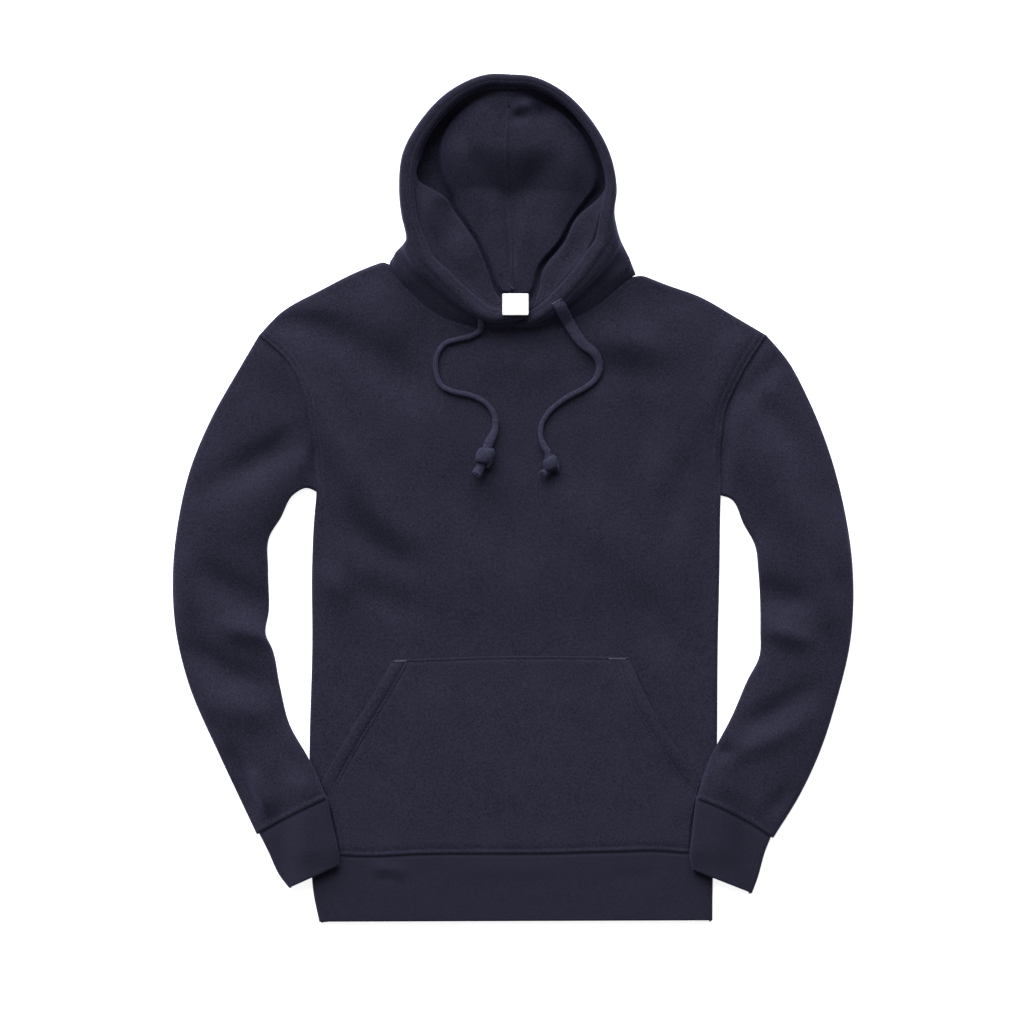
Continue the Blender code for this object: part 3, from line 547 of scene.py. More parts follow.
top_line = curve_through(POCKET_TOP)(np.linspace(0, 1, 120))
from_top = nearest_to(top_line, x, y)
from_hem = y - WAISTBAND_SEAM - seam_wave(x)
caught = CAUGHT_SHARE + (1 - CAUGHT_SHARE) * smooth_step(from_hem / CAUGHT_REACH)
pocket_z = front_height(x, y) + (SEAM + CLOTH) * caught + seam_ridge(from_hem)
pocket_z += TOP_FURROW * stitch_furrow(from_top, TOP_STITCHES) + edge_dip("top", from_top)
hemmed = smooth_step((y - MOUTH_HEM_FROM[0]) / MOUTH_HEM_FROM[1])
for side in "RL":
    mouth = curve_through(POCKET_MOUTH[side])(np.linspace(0, 1, 160))
    from_mouth = nearest_to(mouth, x, y)
    pocket_z += MOUTH_LIFT[side] * bell(from_mouth, MOUTH_LIFT_WIDTH) * between(y, *MOUTH_OPEN)
    pocket_z += edge_dip("mouth", from_mouth) + bells(from_mouth, (MOUTH_HEM,)) * hemmed
    for row in MOUTH_STITCHES:
        pocket_z += stitch_furrow(from_mouth, row) * MOUTH_FURROW
    low_side = curve_through(POCKET_SIDE[side])(np.linspace(0, 1, 80))
    pocket_z += edge_dip("side", nearest_to(low_side, x, y))
pocket_z += PUFF * between(y, *PUFF_LEVELS) * smooth_step((PUFF_HALF_WIDTH - abs(x)) / PUFF_FADE)
pocket = cloth_piece("pocket", np.dstack([x, y, pocket_z]), CLOTH, body_fleece, "kangaroo_pocket")


# ------------------------------------------------------------------ sleeves
# Each is one cut of fleece joined along the underarm and set into the dropped armhole. It
# lies pressed flat, with folds across the arm where it bends, and its forearm rests on the body.

WEARER = {"R": "right", "L": "left"}
OUTWARD = {"R": -1, "L": 1}             # the way along x from the centre line
CUFF_BOW = {"R": 6.0, "L": 14.0}
FOREARM_REST = 262.0
FOREARM_FADE = 60.0
FOREARM_RAMP = 34.0
OVER_WAISTBAND = 9.6
OVER_BODY = 12.8
STEP_BELOW_SEAM = 15.0      # where the step from the waistband up to the body starts
SLEEVE_CROWN = 6.5
CUFF_CROWN = 1.4
TUCK = 1.3                  # how far a set-in edge lies under its neighbour
SET_IN_REACH = 18.0
SET_IN_DROP = 2.2
GATHER_REACH = 30.0
GATHER_RISE = 0.7
SLEEVE_INNER = {
    "R": ((-214.5, 468), (-226, 473), (-240, 466), (-254, 440), (-266, 420), (-267, 384),
          (-266, 340), (-269, 312), (-263, 300), (-254, 258), (-243, 215), (-223, 180), (-202, 134.5)),
    "L": ((227.5, 465), (238, 462), (253, 433), (265, 410), (268, 384), (270, 318), (269, 290),
          (256, 264), (241, 229), (213, 174), (200, 134.5)),
}
SLEEVE_OUTER = {
    "R": ((-277.3, 639.7), (-297, 606), (-330, 547), (-352, 494), (-365, 438), (-371, 375),
          (-368, 320), (-355, 264), (-319, 180), (-297, 133), (-279, 95)),
    "L": ((277.4, 639.7), (300, 613), (324, 568), (346, 512), (361, 455), (371, 385), (369, 310),
          (352, 237), (335, 185), (313, 138), (284, 91)),
}
SLEEVE_FOLDS = {
    "R": (
        (-268, 618, -242, 572, -234, 520, 21, -8.0),
        (-212, 534, -262, 514, -312, 482, 15, -11.5),
        (-300, 490, -325, 478, -346, 464, 14, -3.5),
        (-228, 478, -280, 458, -340, 426, 32, 5.5),
        (-342, 392, -308, 354, -258, 338, 17, -10.0),
        (-318, 326, -292, 314, -262, 308, 12, 8.5),
        (-360, 308, -322, 270, -262, 254, 16, -9.0),
        (-362, 405, -362, 365, -350, 330, 11, 6.5),
        (-340, 242, -300, 228, -256, 226, 18, 6.5),
        (-312, 196, -292, 150, -276, 104, 9, -7.0),
        (-288, 168, -275, 138, -262, 112, 8, 7.0),
        (-338, 210, -326, 180, -306, 150, 10, 4.5),
        (-244, 190, -236, 170, -226, 150, 9, -4.5),
        (-217, 520, -216, 500, -216, 478, 5, -6.0),
    ),
    "L": (
        (292, 618, 264, 592, 246, 566, 11, -8.5),
        (272, 566, 294, 546, 316, 516, 14, -4.5),
        (262, 552, 300, 460, 346, 376, 22, 10.0),
        (238, 500, 258, 452, 284, 404, 16, -4.5),
        (318, 402, 346, 362, 348, 316, 15, 7.5),
        (264, 366, 292, 352, 322, 344, 15, -10.0),
        (268, 324, 298, 314, 328, 304, 11, 8.5),
        (246, 210, 288, 226, 338, 264, 14, -6.5),
        (242, 184, 280, 194, 326, 226, 13, 5.0),
        (227, 190, 231, 186, 236, 182, 8, -5.0),
        (352, 450, 360, 410, 360, 370, 12, 4.0),
        (300, 150, 290, 130, 276, 112, 9, -4.5),
        (231, 528, 229, 500, 230, 472, 5, -7.0),
    ),
}


def forearm_rest(side, x, y):
    """Height of what a forearm lies on: the surface, then up over the side of the body."""
    edge = curve_through(SIDE[side])(0.25)[0]
    past = (x - edge) if side == "R" else (edge - x)
    at_seam = smooth_step((y - WAISTBAND_SEAM + STEP_BELOW_SEAM) / FOLD_FADE)
    lift = OVER_WAISTBAND + (OVER_BODY - OVER_WAISTBAND) * at_seam
    return (lift * smooth_step((past + FOREARM_RAMP) / (FOREARM_RAMP - 1))
            * smooth_step((FOREARM_REST - y) / FOREARM_FADE))


def bowed(first, last, bow):
    """A seam from one place to another in plan; its middle is a quarter of the bow higher."""
    def at(t):
        t = np.asarray(t, float)[..., None]
        return first + (last - first) * t + np.array([0, bow]) * t * (1 - t)

    return at


def pressed_tube(edges, sections, upper_spans, lower_spans, under, thick):
    """Grid of points of a tube pressed flat over a plan patch between four edge curves.

    Its thickness is read at (x, y), the share of its length and the crown's share there.
    """
    edge_turn = np.radians(np.array([0, 18, 36, 54, 72, 90]))
    points = []
    for w in sections:
        ends = coons(*edges, np.array([0.0, 0.5, 1.0]), np.full(3, w))
        width = np.linalg.norm(ends[2] - ends[0])
        half = 0.5 * thick(*ends[1], w, 0)
        rise = half * (1 - np.cos(edge_turn)) / width
        level = 0.5 + 0.5 * np.sin(edge_turn)
        inner = np.linspace(rise[-1], 1 - rise[-1], upper_spans + 1)[1:-1]
        lower = np.linspace(1 - rise[-1], rise[-1], lower_spans + 1)[1:-1]
        u = np.concatenate([rise, inner, 1 - rise[::-1], 1 - rise[1:], lower, rise[:0:-1]])
        up = np.concatenate([level, np.ones(len(inner)), level[::-1], 1 - level[1:],
                             np.zeros(len(lower)), 1 - level[:0:-1]])
        xy = coons(*edges, u, np.full(len(u), w))
        x, y = xy[:, 0], xy[:, 1]
        full = thick(x, y, w, 1 - abs(2 * u - 1)**3)
        points.append(np.stack([x, y, under(x, y) + up * full], axis=1))
    return np.array(points)


def met(edge, place):
    """The edge with its start moved to the place, less and less further along."""
    return lambda t: edge(t) + (place - edge(0)) * ((1 - np.asarray(t, float))**4)[..., None]


def sleeve(side, finish):
    inner, outer = outline(SLEEVE_INNER, side), outline(SLEEVE_OUTER, side)
    start = beside(outline(ARMHOLE, side), OUTWARD[side] * TUCK)
    cuff_seam = bowed(inner(1), outer(1), CUFF_BOW[side])
    seam_points = cuff_seam(np.linspace(0, 1, 60))

    def thick(x, y, w, crown):
        own = not_below(LAID + SLEEVE_CROWN * crown + folds_at(SLEEVE_FOLDS[side], x, y), LOWEST)
        set_in = smooth_step((nearest_to(armhole_line[side], x, y) - TUCK) / SET_IN_REACH)
        from_cuff = nearest_to(seam_points, x, y)
        to_cuff = smooth_step(from_cuff / GATHER_REACH)
        at_cuff = LAID + GATHER_RISE + CUFF_CROWN * crown
        gathered = at_cuff * (1 - to_cuff) + own * to_cuff + seam_ridge(from_cuff)
        return gathered * set_in + (front_height(x, y) - SET_IN_DROP) * (1 - set_in)

    sections = np.concatenate([[0, 0.003, 0.006, 0.011], np.linspace(0.018, 0.975, 88),
                               [0.983, 0.989, 0.993, 0.996, 1]])
    points = pressed_tube((start, cuff_seam, met(inner, start(0)), met(outer, start(1))), sections,
                          22, 8, lambda x, y: forearm_rest(side, x, y), thick)
    piece = cloth_piece(f"{WEARER[side]}_sleeve_cloth", points, CLOTH, finish,
                        f"{WEARER[side]}_sleeve", ring=True)


for side in "RL":
    sleeve(side, body_fleece)


# ------------------------------------------------------------------ waistband and cuffs
# 1x1 rib knitted in the body's yarn, folded double and sewn on with the raw edges inside.
# The ribs run up and down the garment and down the arm.

RIB = 3.0
RIB_PITCH = 3.1
RIB_HEIGHT = 0.2
POINTS_A_RIB = 4
RIBBED_WIDTH = 430.0        # of the waistband as it lies
SEAM_THICKER = 1.1          # how much more the waistband measures at its seam
SEAM_DIP = 0.7
SEAM_DIP_REACH = 3.4
FOLD_DROP = 1.5
FOLD_ROUND = 2.2
CUFF_TUCK = 3.0
WAISTBAND_EDGE = {
    "R": ((-220, WAISTBAND_SEAM), (-219, 47), (-217, 29), (-211, 0)),
    "L": ((220, WAISTBAND_SEAM), (218.5, 50), (218, 25), (218, 1.5)),
}
WAISTBAND_FOLDS = (
    (-150, 51, -134, 47, -116, 46, 2.6, -2.4),
    (-156, 60, -136, 56, -112, 54, 6, 2.6),
    (-60, 60, 0, 56, 70, 60, 9, 0.8),
    (110, 52, 130, 46, 160, 50, 7, -0.9),
)
CUFF_INNER = {
    "R": ((-202, 134), (-197, 106), (-190, 76), (-189, 62)),
    "L": ((200, 134), (196, 100), (194, 65), (196, 57)),
}
CUFF_OUTER = {
    "R": ((-277, 94), (-267, 75), (-254, 49), (-244, 37)),
    "L": ((282, 90), (276, 76), (267, 46), (261, 31)),
}
rib_knit = fleece("rib_knit", [c * 0.89 for c in NAVY], 0.2)


def new_tree(name, inputs):
    """An empty Geometry Nodes tree with the named inputs, and the nodes at its two ends."""
    tree = bpy.data.node_groups.new(name, "GeometryNodeTree")
    for label, kind in {"Geometry": "Geometry", **inputs}.items():
        tree.interface.new_socket(label, in_out="INPUT", socket_type="NodeSocket" + kind)
    tree.interface.new_socket("Geometry", in_out="OUTPUT", socket_type="NodeSocketGeometry")
    return tree, tree.nodes.new("NodeGroupInput"), tree.nodes.new("NodeGroupOutput")


def finished_tree(tree, geometry, finish, made):
    """The tree with its end: instances made real, the finish set and the result handed out."""
    real, paint = (tree.nodes.new("GeometryNode" + kind) for kind in ("RealizeInstances", "SetMaterial"))
    link = tree.links.new
    link(geometry, real.inputs["Geometry"])
    link(real.outputs["Geometry"], paint.inputs["Geometry"])
    link(finish, paint.inputs["Material"])
    link(paint.outputs["Geometry"], made.inputs["Geometry"])
    return tree


def rib_tree():
    """Geometry Nodes: moves points along their normals in ribs, by how far round each lies."""
    tree, given, made = new_tree("Ribs", {"Pitch": "Float", "Height": "Float", "Knit": "Material"})
    add, link = tree.nodes.new, tree.links.new
    around = add("GeometryNodeInputNamedAttribute")
    around.inputs["Name"].default_value = "around"
    turns, angle, wave, half, scale = [add("ShaderNodeMath") for _ in range(5)]
    turns.operation, angle.operation, wave.operation = "DIVIDE", "MULTIPLY", "COSINE"
    half.operation, scale.operation = "MULTIPLY_ADD", "MULTIPLY"
    link(around.outputs["Attribute"], turns.inputs[0])
    link(given.outputs["Pitch"], turns.inputs[1])
    link(turns.outputs[0], angle.inputs[0])
    angle.inputs[1].default_value = 2 * np.pi
    link(angle.outputs[0], wave.inputs[0])
    link(wave.outputs[0], half.inputs[0])
    half.inputs[1].default_value, half.inputs[2].default_value = 0.5, -0.5
    link(half.outputs[0], scale.inputs[0])
    link(given.outputs["Height"], scale.inputs[1])
    normal, offset = add("GeometryNodeInputNormal"), add("ShaderNodeVectorMath")
    offset.operation = "SCALE"
    link(normal.outputs["Normal"], offset.inputs[0])
    link(scale.outputs[0], offset.inputs["Scale"])
    move = add("GeometryNodeSetPosition")
    link(given.outputs["Geometry"], move.inputs["Geometry"])
    link(offset.outputs["Vector"], move.inputs["Offset"])
    return finished_tree(tree, move.outputs["Geometry"], given.outputs["Knit"], made)


def by_tree(piece, tree, values):
    """The piece's mesh as the tree makes it, with the named inputs set."""
    modifier = piece.modifiers.new("Made", "NODES")
    modifier.node_group = tree
    sockets = {item.name: item.identifier for item in tree.interface.items_tree if item.in_out == "INPUT"}
    for name, value in values.items():
        modifier[sockets[name]] = value
    piece.update_tag()
    graph = bpy.context.evaluated_depsgraph_get()
    mesh = bpy.data.meshes.new_from_object(piece.evaluated_get(graph), depsgraph=graph)
    piece.modifiers.remove(modifier)
    old, piece.data = piece.data, mesh
    bpy.data.meshes.remove(old)


ribs = rib_tree()


def ribbed(piece, around, rows):
    layer = piece.data.attributes.new("around", "FLOAT", "POINT")
    layer.data.foreach_set("value", np.tile(around, rows).astype(np.float32))
    by_tree(piece, ribs, {"Pitch": RIB_PITCH * MM, "Height": RIB_HEIGHT * MM, "Knit": rib_knit})
    piece.data.shade_smooth()


def rib_wall(w, length, full, tuck=TUCK):
    """Height of a doubled rib along its length: tucked in at the seam, round at the fold."""
    from_seam, from_fold = w * length, (1 - w) * length
    tucked = -SEAM_DIP * (1 - smooth_step((from_seam - tuck) / SEAM_DIP_REACH))
    fold = -FOLD_DROP * (1 - np.sqrt(1 - (1 - np.clip(from_fold / FOLD_ROUND, 0, 1))**2))
    return full + tucked + fold


def waistband_line(at_seam):
    def at(t):
        t = np.asarray(t, float)[..., None]
        right, left = (outline(WAISTBAND_EDGE, side)(0 if at_seam else 1) for side in "RL")
        point = right + (left - right) * t
        if at_seam:
            point[..., 1] += TUCK + seam_wave(point[..., 0])
        return point

    return at


def raised_start(curve, amount):
    """An edge whose start is moved up under the cloth that it is sewn to."""
    return lambda t: curve(t) + np.array([0, amount]) * (1 - np.asarray(t, float))[..., None]


WAISTBAND_LENGTH = WAISTBAND_SEAM + TUCK
waistband_edges = (waistband_line(True), waistband_line(False),
                   *(raised_start(outline(WAISTBAND_EDGE, side), TUCK) for side in "RL"))
near_seam = np.array([0, 1.2, 2.0, 2.8, 3.8, 5])
near_fold = np.array([0, 0.25, 0.7, 1.4, 2.4, 4])


def rib_sections(length, count):
    return np.concatenate([near_seam / length, np.linspace(7 / length, 1 - 6 / length, count),
                           1 - near_fold[::-1] / length])


waistband_points = pressed_tube(
    waistband_edges, rib_sections(WAISTBAND_LENGTH, 12),
    int(RIBBED_WIDTH / RIB_PITCH * POINTS_A_RIB), 60, lambda x, y: 0 * x,
    lambda x, y, w, crown: rib_wall(w, WAISTBAND_LENGTH,
                                    LAID + SEAM_THICKER * (1 - w) + folds_at(WAISTBAND_FOLDS, x, y)))
waistband = cloth_piece("waistband_rib", waistband_points, RIB, rib_knit, "waistband",
                        ring=True, shaped=ribbed)


def cuff(side):
    inner, outer = outline(CUFF_INNER, side), outline(CUFF_OUTER, side)
    seam, fold = bowed(inner(0), outer(0), CUFF_BOW[side]), bowed(inner(1), outer(1), 0)
    edges = (lambda t: seam(t) + np.array([0, CUFF_TUCK]), fold,
             raised_start(inner, CUFF_TUCK), raised_start(outer, CUFF_TUCK))
    length = np.linalg.norm((inner(0) + outer(0)) / 2 - (inner(1) + outer(1)) / 2)
    points = pressed_tube(edges, rib_sections(length, 10), 116, 24,
                          lambda x, y: forearm_rest(side, x, y),
                          lambda x, y, w, crown: rib_wall(w, length, LAID + CUFF_CROWN * crown, CUFF_TUCK))
    piece = cloth_piece(f"{WEARER[side]}_cuff_rib", points, RIB, rib_knit, f"{WEARER[side]}_cuff",
                        ring=True, shaped=ribbed)
    return piece


cuffs = {side: cuff(side) for side in "RL"}


# ------------------------------------------------------------------ hood, outside
# Two fleece halves joined by a seam over the crown. The hood lies open: its wall rolls over
# at the rim, which is hemmed as a tunnel for the cord, and its back lies on the surface.

# rim x, y, z; wall x, y, z; foot x, y, z; neckline share
HOOD_SECTIONS = {
    "R": (
        (-1.4, 922.5, 42, -1.4, 923.5, 26, -1.4, 905, 0, 0.0),
        (-26, 922.5, 42.5, -26, 923.7, 26, -22, 905, 0, 0.07),
        (-67.5, 905, 44, -68, 906, 27, -58, 890, 0, 0.2),
        (-99, 873, 45, -100, 874, 28, -85, 862, 0, 0.34),
        (-119, 836, 45, -120.5, 836, 28, -103, 830, 0, 0.5),
        (-122.5, 803, 45, -124, 803, 28, -107, 800, 0, 0.64),
        (-119, 768, 44, -121, 768, 27, -106, 764, 0, 0.78),
        (-113.5, 749, 43, -116, 744, 26, -116, 738, 3, 0.9),
        (-109, 737, 42.5, -120, 736, 30, -129, 729, 17, 1.06),
        (-102, 722, 42, -110, 717, 36, -118, 709, 24, 1.16),
        (-83, 702, 40, -89, 697, 34, -96, 688, 22, 1.36),
        (-64, 683, 37, -68, 679, 31.5, -74, 671.5, 21, 1.52),
        (-27, 656, 34, -28, 655, 29, -30, 652, 20, 1.82),
        (15, 660, 33, 13, 657.5, 28.5, 8, 653, 21, 1.99),
    ),
    "L": (
        (-2.6, 922.5, 42, -2.6, 923.5, 26, -2.6, 905, 0, 0.0),
        (20, 920.5, 42.5, 20, 921.5, 26, 17, 903, 0, 0.07),
        (51.5, 906, 43, 52, 907, 27, 44, 891, 0, 0.2),
        (83, 875, 44, 84, 876, 28, 70, 864, 0, 0.34),
        (106, 834, 45, 107, 834, 28, 90, 829, 0, 0.5),
        (112, 798, 45, 113.5, 798, 28, 97, 796, 0, 0.64),
        (109, 770, 44, 111, 771, 27, 98, 766, 0, 0.78),
        (107.5, 754, 43, 114, 755, 26, 114, 744, 3, 0.9),
        (105, 741, 42, 117, 738, 31, 129, 720, 16, 1.06),
        (97, 729, 41.5, 107, 722, 34, 117, 709, 22, 1.12),
        (82, 707, 40, 89, 701, 33, 96, 691, 21, 1.31),
        (60, 682, 36, 64.5, 677.5, 30.5, 70, 670, 20.5, 1.5),
        (36, 661, 30, 37.5, 658.5, 25.5, 39, 655.5, 18.5, 1.73),
        (16.5, 651, 24.5, 16.6, 650.4, 21.5, 16.2, 649.4, 17, 1.88),
        (4, 649.6, 18, 4, 649, 16.5, 4, 648.4, 14, 1.96),
        (-6, 650.5, 12.5, -6, 650, 11.5, -6, 649.5, 10.5, 2.0),
    ),
}
# rim x, y, z; foot on the centre seam y, z; width of the hemmed band as a share; then distance
# in from the rim and height of the lip, of the valley and of the edge of the raised middle
LINING_SECTIONS = {
    "R": (
        (-1.4, 922.5, 42, 886, 31.5, 0.72, 13, 36, 18, 30, 24, 31.5),
        (-20, 922.6, 42, 885, 32, 0.74, 13.5, 36, 19, 29, 26, 31.5),
        (-67.5, 905, 44, 876, 34, 0.92, 17, 36.5, 24, 22.5, 30, 29),
        (-99, 873, 45, 857, 37, 1.0, 17.5, 36, 26, 12, 32, 26),
        (-119, 836, 45, 834, 36, 1.0, 19.5, 35, 33, 10, 42, 25),
        (-122.5, 806, 45, 808, 25, 1.0, 21, 35, 42, 10, 52, 22),
        (-121.5, 789, 44.5, 794, 17, 1.0, 46, 34, 54, 10, 60, 20),
        (-119, 772, 44, 780, 14.5, 1.0, 54, 32, 59, 11, 63, 19),
        (-102, 722, 42, 756, 15.5, 1.0, 63, 30, 66.5, 11, 69.5, 20.5),
        (-64, 683, 37, 732, 18, 1.0, 45, 28.5, 48.5, 13, 52, 20.5),
        (-27, 656, 34, 708, 21, 1.0, 27, 28, 31, 15, 36, 21),
        (15, 660, 33, 691, 20, 0.8, 14, 30, 20, 26, 26, 25),
    ),
    "L": (
        (-2.6, 922.5, 42, 886, 31.5, 0.72, 13, 36, 18, 30, 24, 31.5),
        (16, 921.2, 42, 885, 32, 0.72, 13, 36, 19, 28, 27, 30.5),
        (51.5, 906, 43, 876, 34, 0.72, 13, 36.5, 19, 19, 27, 28),
        (83, 875, 44, 857, 37, 0.68, 11, 37, 16, 10, 22, 26),
        (106, 834, 45, 834, 36, 0.66, 10.5, 37, 14.5, 10, 22, 25),
        (112, 798, 45, 806, 24, 0.66, 10.5, 37, 15.5, 10, 24, 22),
        (111, 784, 44.5, 793, 17, 0.8, 20, 35, 27, 10, 33, 20),
        (109, 770, 44, 780, 14.5, 0.9, 33.5, 33.5, 37, 10, 41, 19),
        (97, 729, 41.5, 756, 15.5, 1.0, 42, 31, 45.5, 10, 49, 21),
        (66, 689, 37, 732, 18, 1.0, 38.5, 28.5, 42, 12, 46, 20.5),
        (38, 663, 31, 708, 21, 0.9, 20, 26, 25, 15, 30, 20),
        (16.5, 651, 24.5, 691, 20, 0.8, 12, 22, 18, 18, 24, 18),
        (4, 649.6, 18, 690, 19.5, 0.7, 12, 16, 18, 15, 24, 16),
        (-6, 650.5, 12.5, 690, 19, 0.6, 10, 10, 16, 11, 22, 14),
    ),
}
CENTRE_SEAM = ((-2, 924), (-4, 895), (-7, 841), (-5, 787), (-1, 737), (-2, 690))
# distance in from the rim and height above it, across the hemmed band; stitches lie in the dips
RIM_BAND = ((0, 0), (0.5, 1.0), (1.8, 1.9), (4.2, 2.5), (7.0, 2.3), (8.8, 1.7), (9.9, 1.0), (11, 1.3),
            (12.6, 0.7), (14, -0.3), (15, -1.5), (15.6, -2.6), (15.7, -4.2))
RIM_STITCHES = (9.9, 14.6)
HOOD_COLUMNS = 110
CENTRE_GAP = 0.35           # from the centre seam to each half
NECK_TUCK_SHARE = 0.1       # past the shoulder the neck edge slips under the front
NECK_TUCK_DROP = 1.2
seam_line = curve_through(CENTRE_SEAM)(np.linspace(0, 1, 41))


def lining_profile(side, t):
    """Rim, direction in from it, band share and (distance in, height) of the lining."""
    values = curve_through(LINING_SECTIONS[side])(t)
    x, y, z, seam_y, seam_z, band, lip, lip_z, valley, valley_z, edge, edge_z = values
    seam_x = np.interp(-seam_y, -seam_line[:, 1], seam_line[:, 0]) - OUTWARD[side] * CENTRE_GAP
    to_seam = np.array([seam_x, seam_y]) - np.array([x, y])
    reach = np.linalg.norm(to_seam)
    wide = max(reach - edge, 1)
    middle = max(seam_z, edge_z) + min(1.0, 0.02 * wide)
    under = min(1.6, 0.07 * max(lip_z - valley_z, 0))
    rows = ((9 * band, z - 5), (13.5 * band, z - 5), (15.3 * band, z - 3.9), (16.4 * band, z - 3.5),
            (max(0.5 * lip, 17 * band), z - 3.5 - (z - 3.5 - lip_z) * 0.4),
            (max(lip - 3, 17.2 * band), lip_z + 0.4), (max(lip - 1, 17.4 * band), lip_z - 0.8),
            (lip + 0.6, lip_z - 3.4), (lip + 0.4, lip_z * 0.7 + valley_z * 0.3), (lip - under, valley_z + 3),
            (lip, valley_z + 0.6), (valley, valley_z), (valley + (edge - valley) * 0.5, valley_z + 2),
            (edge - 1, valley_z * 0.35 + edge_z * 0.65), (edge + 0.6, edge_z),
            (edge + wide * 0.12, edge_z + (middle - edge_z) * 0.35),
            (edge + wide * 0.38, edge_z + (middle - edge_z) * 0.75), (edge + wide * 0.72, middle - 0.3),
            (reach - 4, seam_z), (reach - 2.4, seam_z + 0.1), (reach - 1.2, seam_z + 0.8),
            (reach, seam_z + 1.1))
    profile = np.array(rows, float)
    profile[:, 0] = np.minimum(profile[:, 0], reach)
    return np.array([x, y, z]), to_seam / reach, band, profile


def divided(line, counts):
    """The polyline with each span cut into its own count of equal parts."""
    ends = np.arange(len(line))
    wanted = np.concatenate([k + np.arange(parts) / parts for k, parts in enumerate(counts)] + [ends[-1:]])
    return np.stack([np.interp(wanted, ends, line[:, k]) for k in range(line.shape[1])], axis=1)


def hood_neck_point(side, share):
    """Place on the neckline: beside the back's edge, then tucked under the front's."""
    if share <= 1:
        return beside(curve_through(NECK_BACK[side]), OUTWARD[side] * SEAM)(share)
    under = smooth_step((share - 1) / NECK_TUCK_SHARE)
    tucked = SEAM - (TUCK + SEAM) * under
    point = beside(curve_through(NECK_FRONT[side]), -OUTWARD[side] * tucked)(share - 1)
    return point - np.array([0, 0, NECK_TUCK_DROP * under])


rim_rows = {}


def hood_half(side, finish):
    stations = curve_through(HOOD_SECTIONS[side])
    grid = []
    rim_rows[side] = {row: [] for row in RIM_STITCHES}
    for t in np.linspace(0, 1, HOOD_COLUMNS + 1):
        values = stations(t)
        rim, wall, foot = values[0:3], values[3:6], values[6:9]
        neck = hood_neck_point(side, float(np.clip(values[9], 0, 2)))
        _, inward, band, _ = lining_profile(side, t)
        column = [[*(rim[:2] + inward * d * band), rim[2] + h] for d, h in RIM_BAND[::-1]]
        for row in RIM_STITCHES:
            rim_rows[side][row].append(rim[:2] + inward * row * band)
        for lower, parts in ((1, (0.66, 0.33, 0.0)), (0, (0.25, 0.5, 0.75, 1.0))):
            for part in parts:
                target = rim if lower else foot
                angle = part * np.pi / 2
                point = wall.copy()
                point[:2] += (target - wall)[:2] * (1 - np.cos(angle))
                point[2] += (target - wall)[2] * np.sin(angle)
                column.append(list(point))
        for part in (0.12, 0.3, 0.5, 0.7, 0.88, 1.0):
            column.append(list(foot + (neck - foot) * part))
        grid.append(column)
    points = np.transpose(np.array(grid), (1, 0, 2))
    points[..., 2] = np.maximum(points[..., 2], 0.0)
    piece = cloth_piece(f"hood_{WEARER[side]}_half", points, CLOTH, finish,
                        f"hood_{WEARER[side]}_panel")
    return piece


hood_halves = {side: hood_half(side, body_fleece) for side in "RL"}


# ------------------------------------------------------------------ hood, lining
# Two more halves of the same fleece, face inwards, joined by the light ridge of a centre
# seam. The back of the hood has sunk forward onto itself, with a deep crease down each side.

# x, y, radius and height of the dents and the lobe where the crown has crumpled
CROWN_DENTS = ((7, 877, 7, -7.5), (33, 884, 11, -10.0), (14, 890, 8, 6.0), (-34, 886, 14, 2.5),
               (18, 812, 20, -4.0))
# Folds of the sunk back and of the side panels, as on the body
LINING_FOLDS = (
    (-94, 792, -92, 770, -86, 742, 9, 5.5),
    (-72, 792, -68, 765, -64, 738, 8, -8.5),
    (-54, 752, -46, 738, -32, 722, 8, 4.0),
    (-64, 730, -50, 720, -36, 708, 9, 3.0),
    (-66, 856, -54, 810, -30, 760, 13, 4.0),
    (-40, 852, -32, 810, -8, 782, 12, -6.0),
    (72, 856, 64, 800, 38, 750, 13, 3.5),
    (40, 838, 26, 806, 4, 782, 14, -5.0),
    (72, 748, 66, 728, 50, 706, 7, -3.0),
)
LINING_DIVISIONS = (1, 1, 1, 4, 3, 1, 1, 2, 2, 1, 2, 2, 2, 2, 3, 6, 8, 8, 2, 1, 1)
# The lining is the body's own fleece with its navy made 5 % darker: painted shade for the inside of the
# hood, not a colour of its own.
lining_fleece_painted_shade = fleece("fleece_lining", [c * 0.95 for c in NAVY])


def lining_half(side, finish):
    wearer = WEARER[side]
    grid = []
    for t in np.linspace(0, 1, HOOD_COLUMNS + 1):
        rim, inward, _, profile = lining_profile(side, t)
        grid.append([[*(rim[:2] + inward * d), z] for d, z in divided(profile, LINING_DIVISIONS)])
    points = np.transpose(np.array(grid), (1, 0, 2))
    inside = np.clip(np.arange(len(points)) - 3, 0, 3)[:, None] / 3
    points[..., 2] += inside * folds_at(LINING_FOLDS, points[..., 0], points[..., 1])
    for x, y, radius, height in CROWN_DENTS:
        points[..., 2] += height * bell(np.hypot(points[..., 0] - x, points[..., 1] - y), radius)
    piece = cloth_piece(f"hood_{wearer}_lining_half", points, CLOTH, finish, f"hood_lining_{wearer}")


for side in "RL":
    lining_half(side, lining_fleece_painted_shade)


# ------------------------------------------------------------------ neck label
# A woven tab, left blank, sewn into the back neck seam and hanging over the hood's lining.

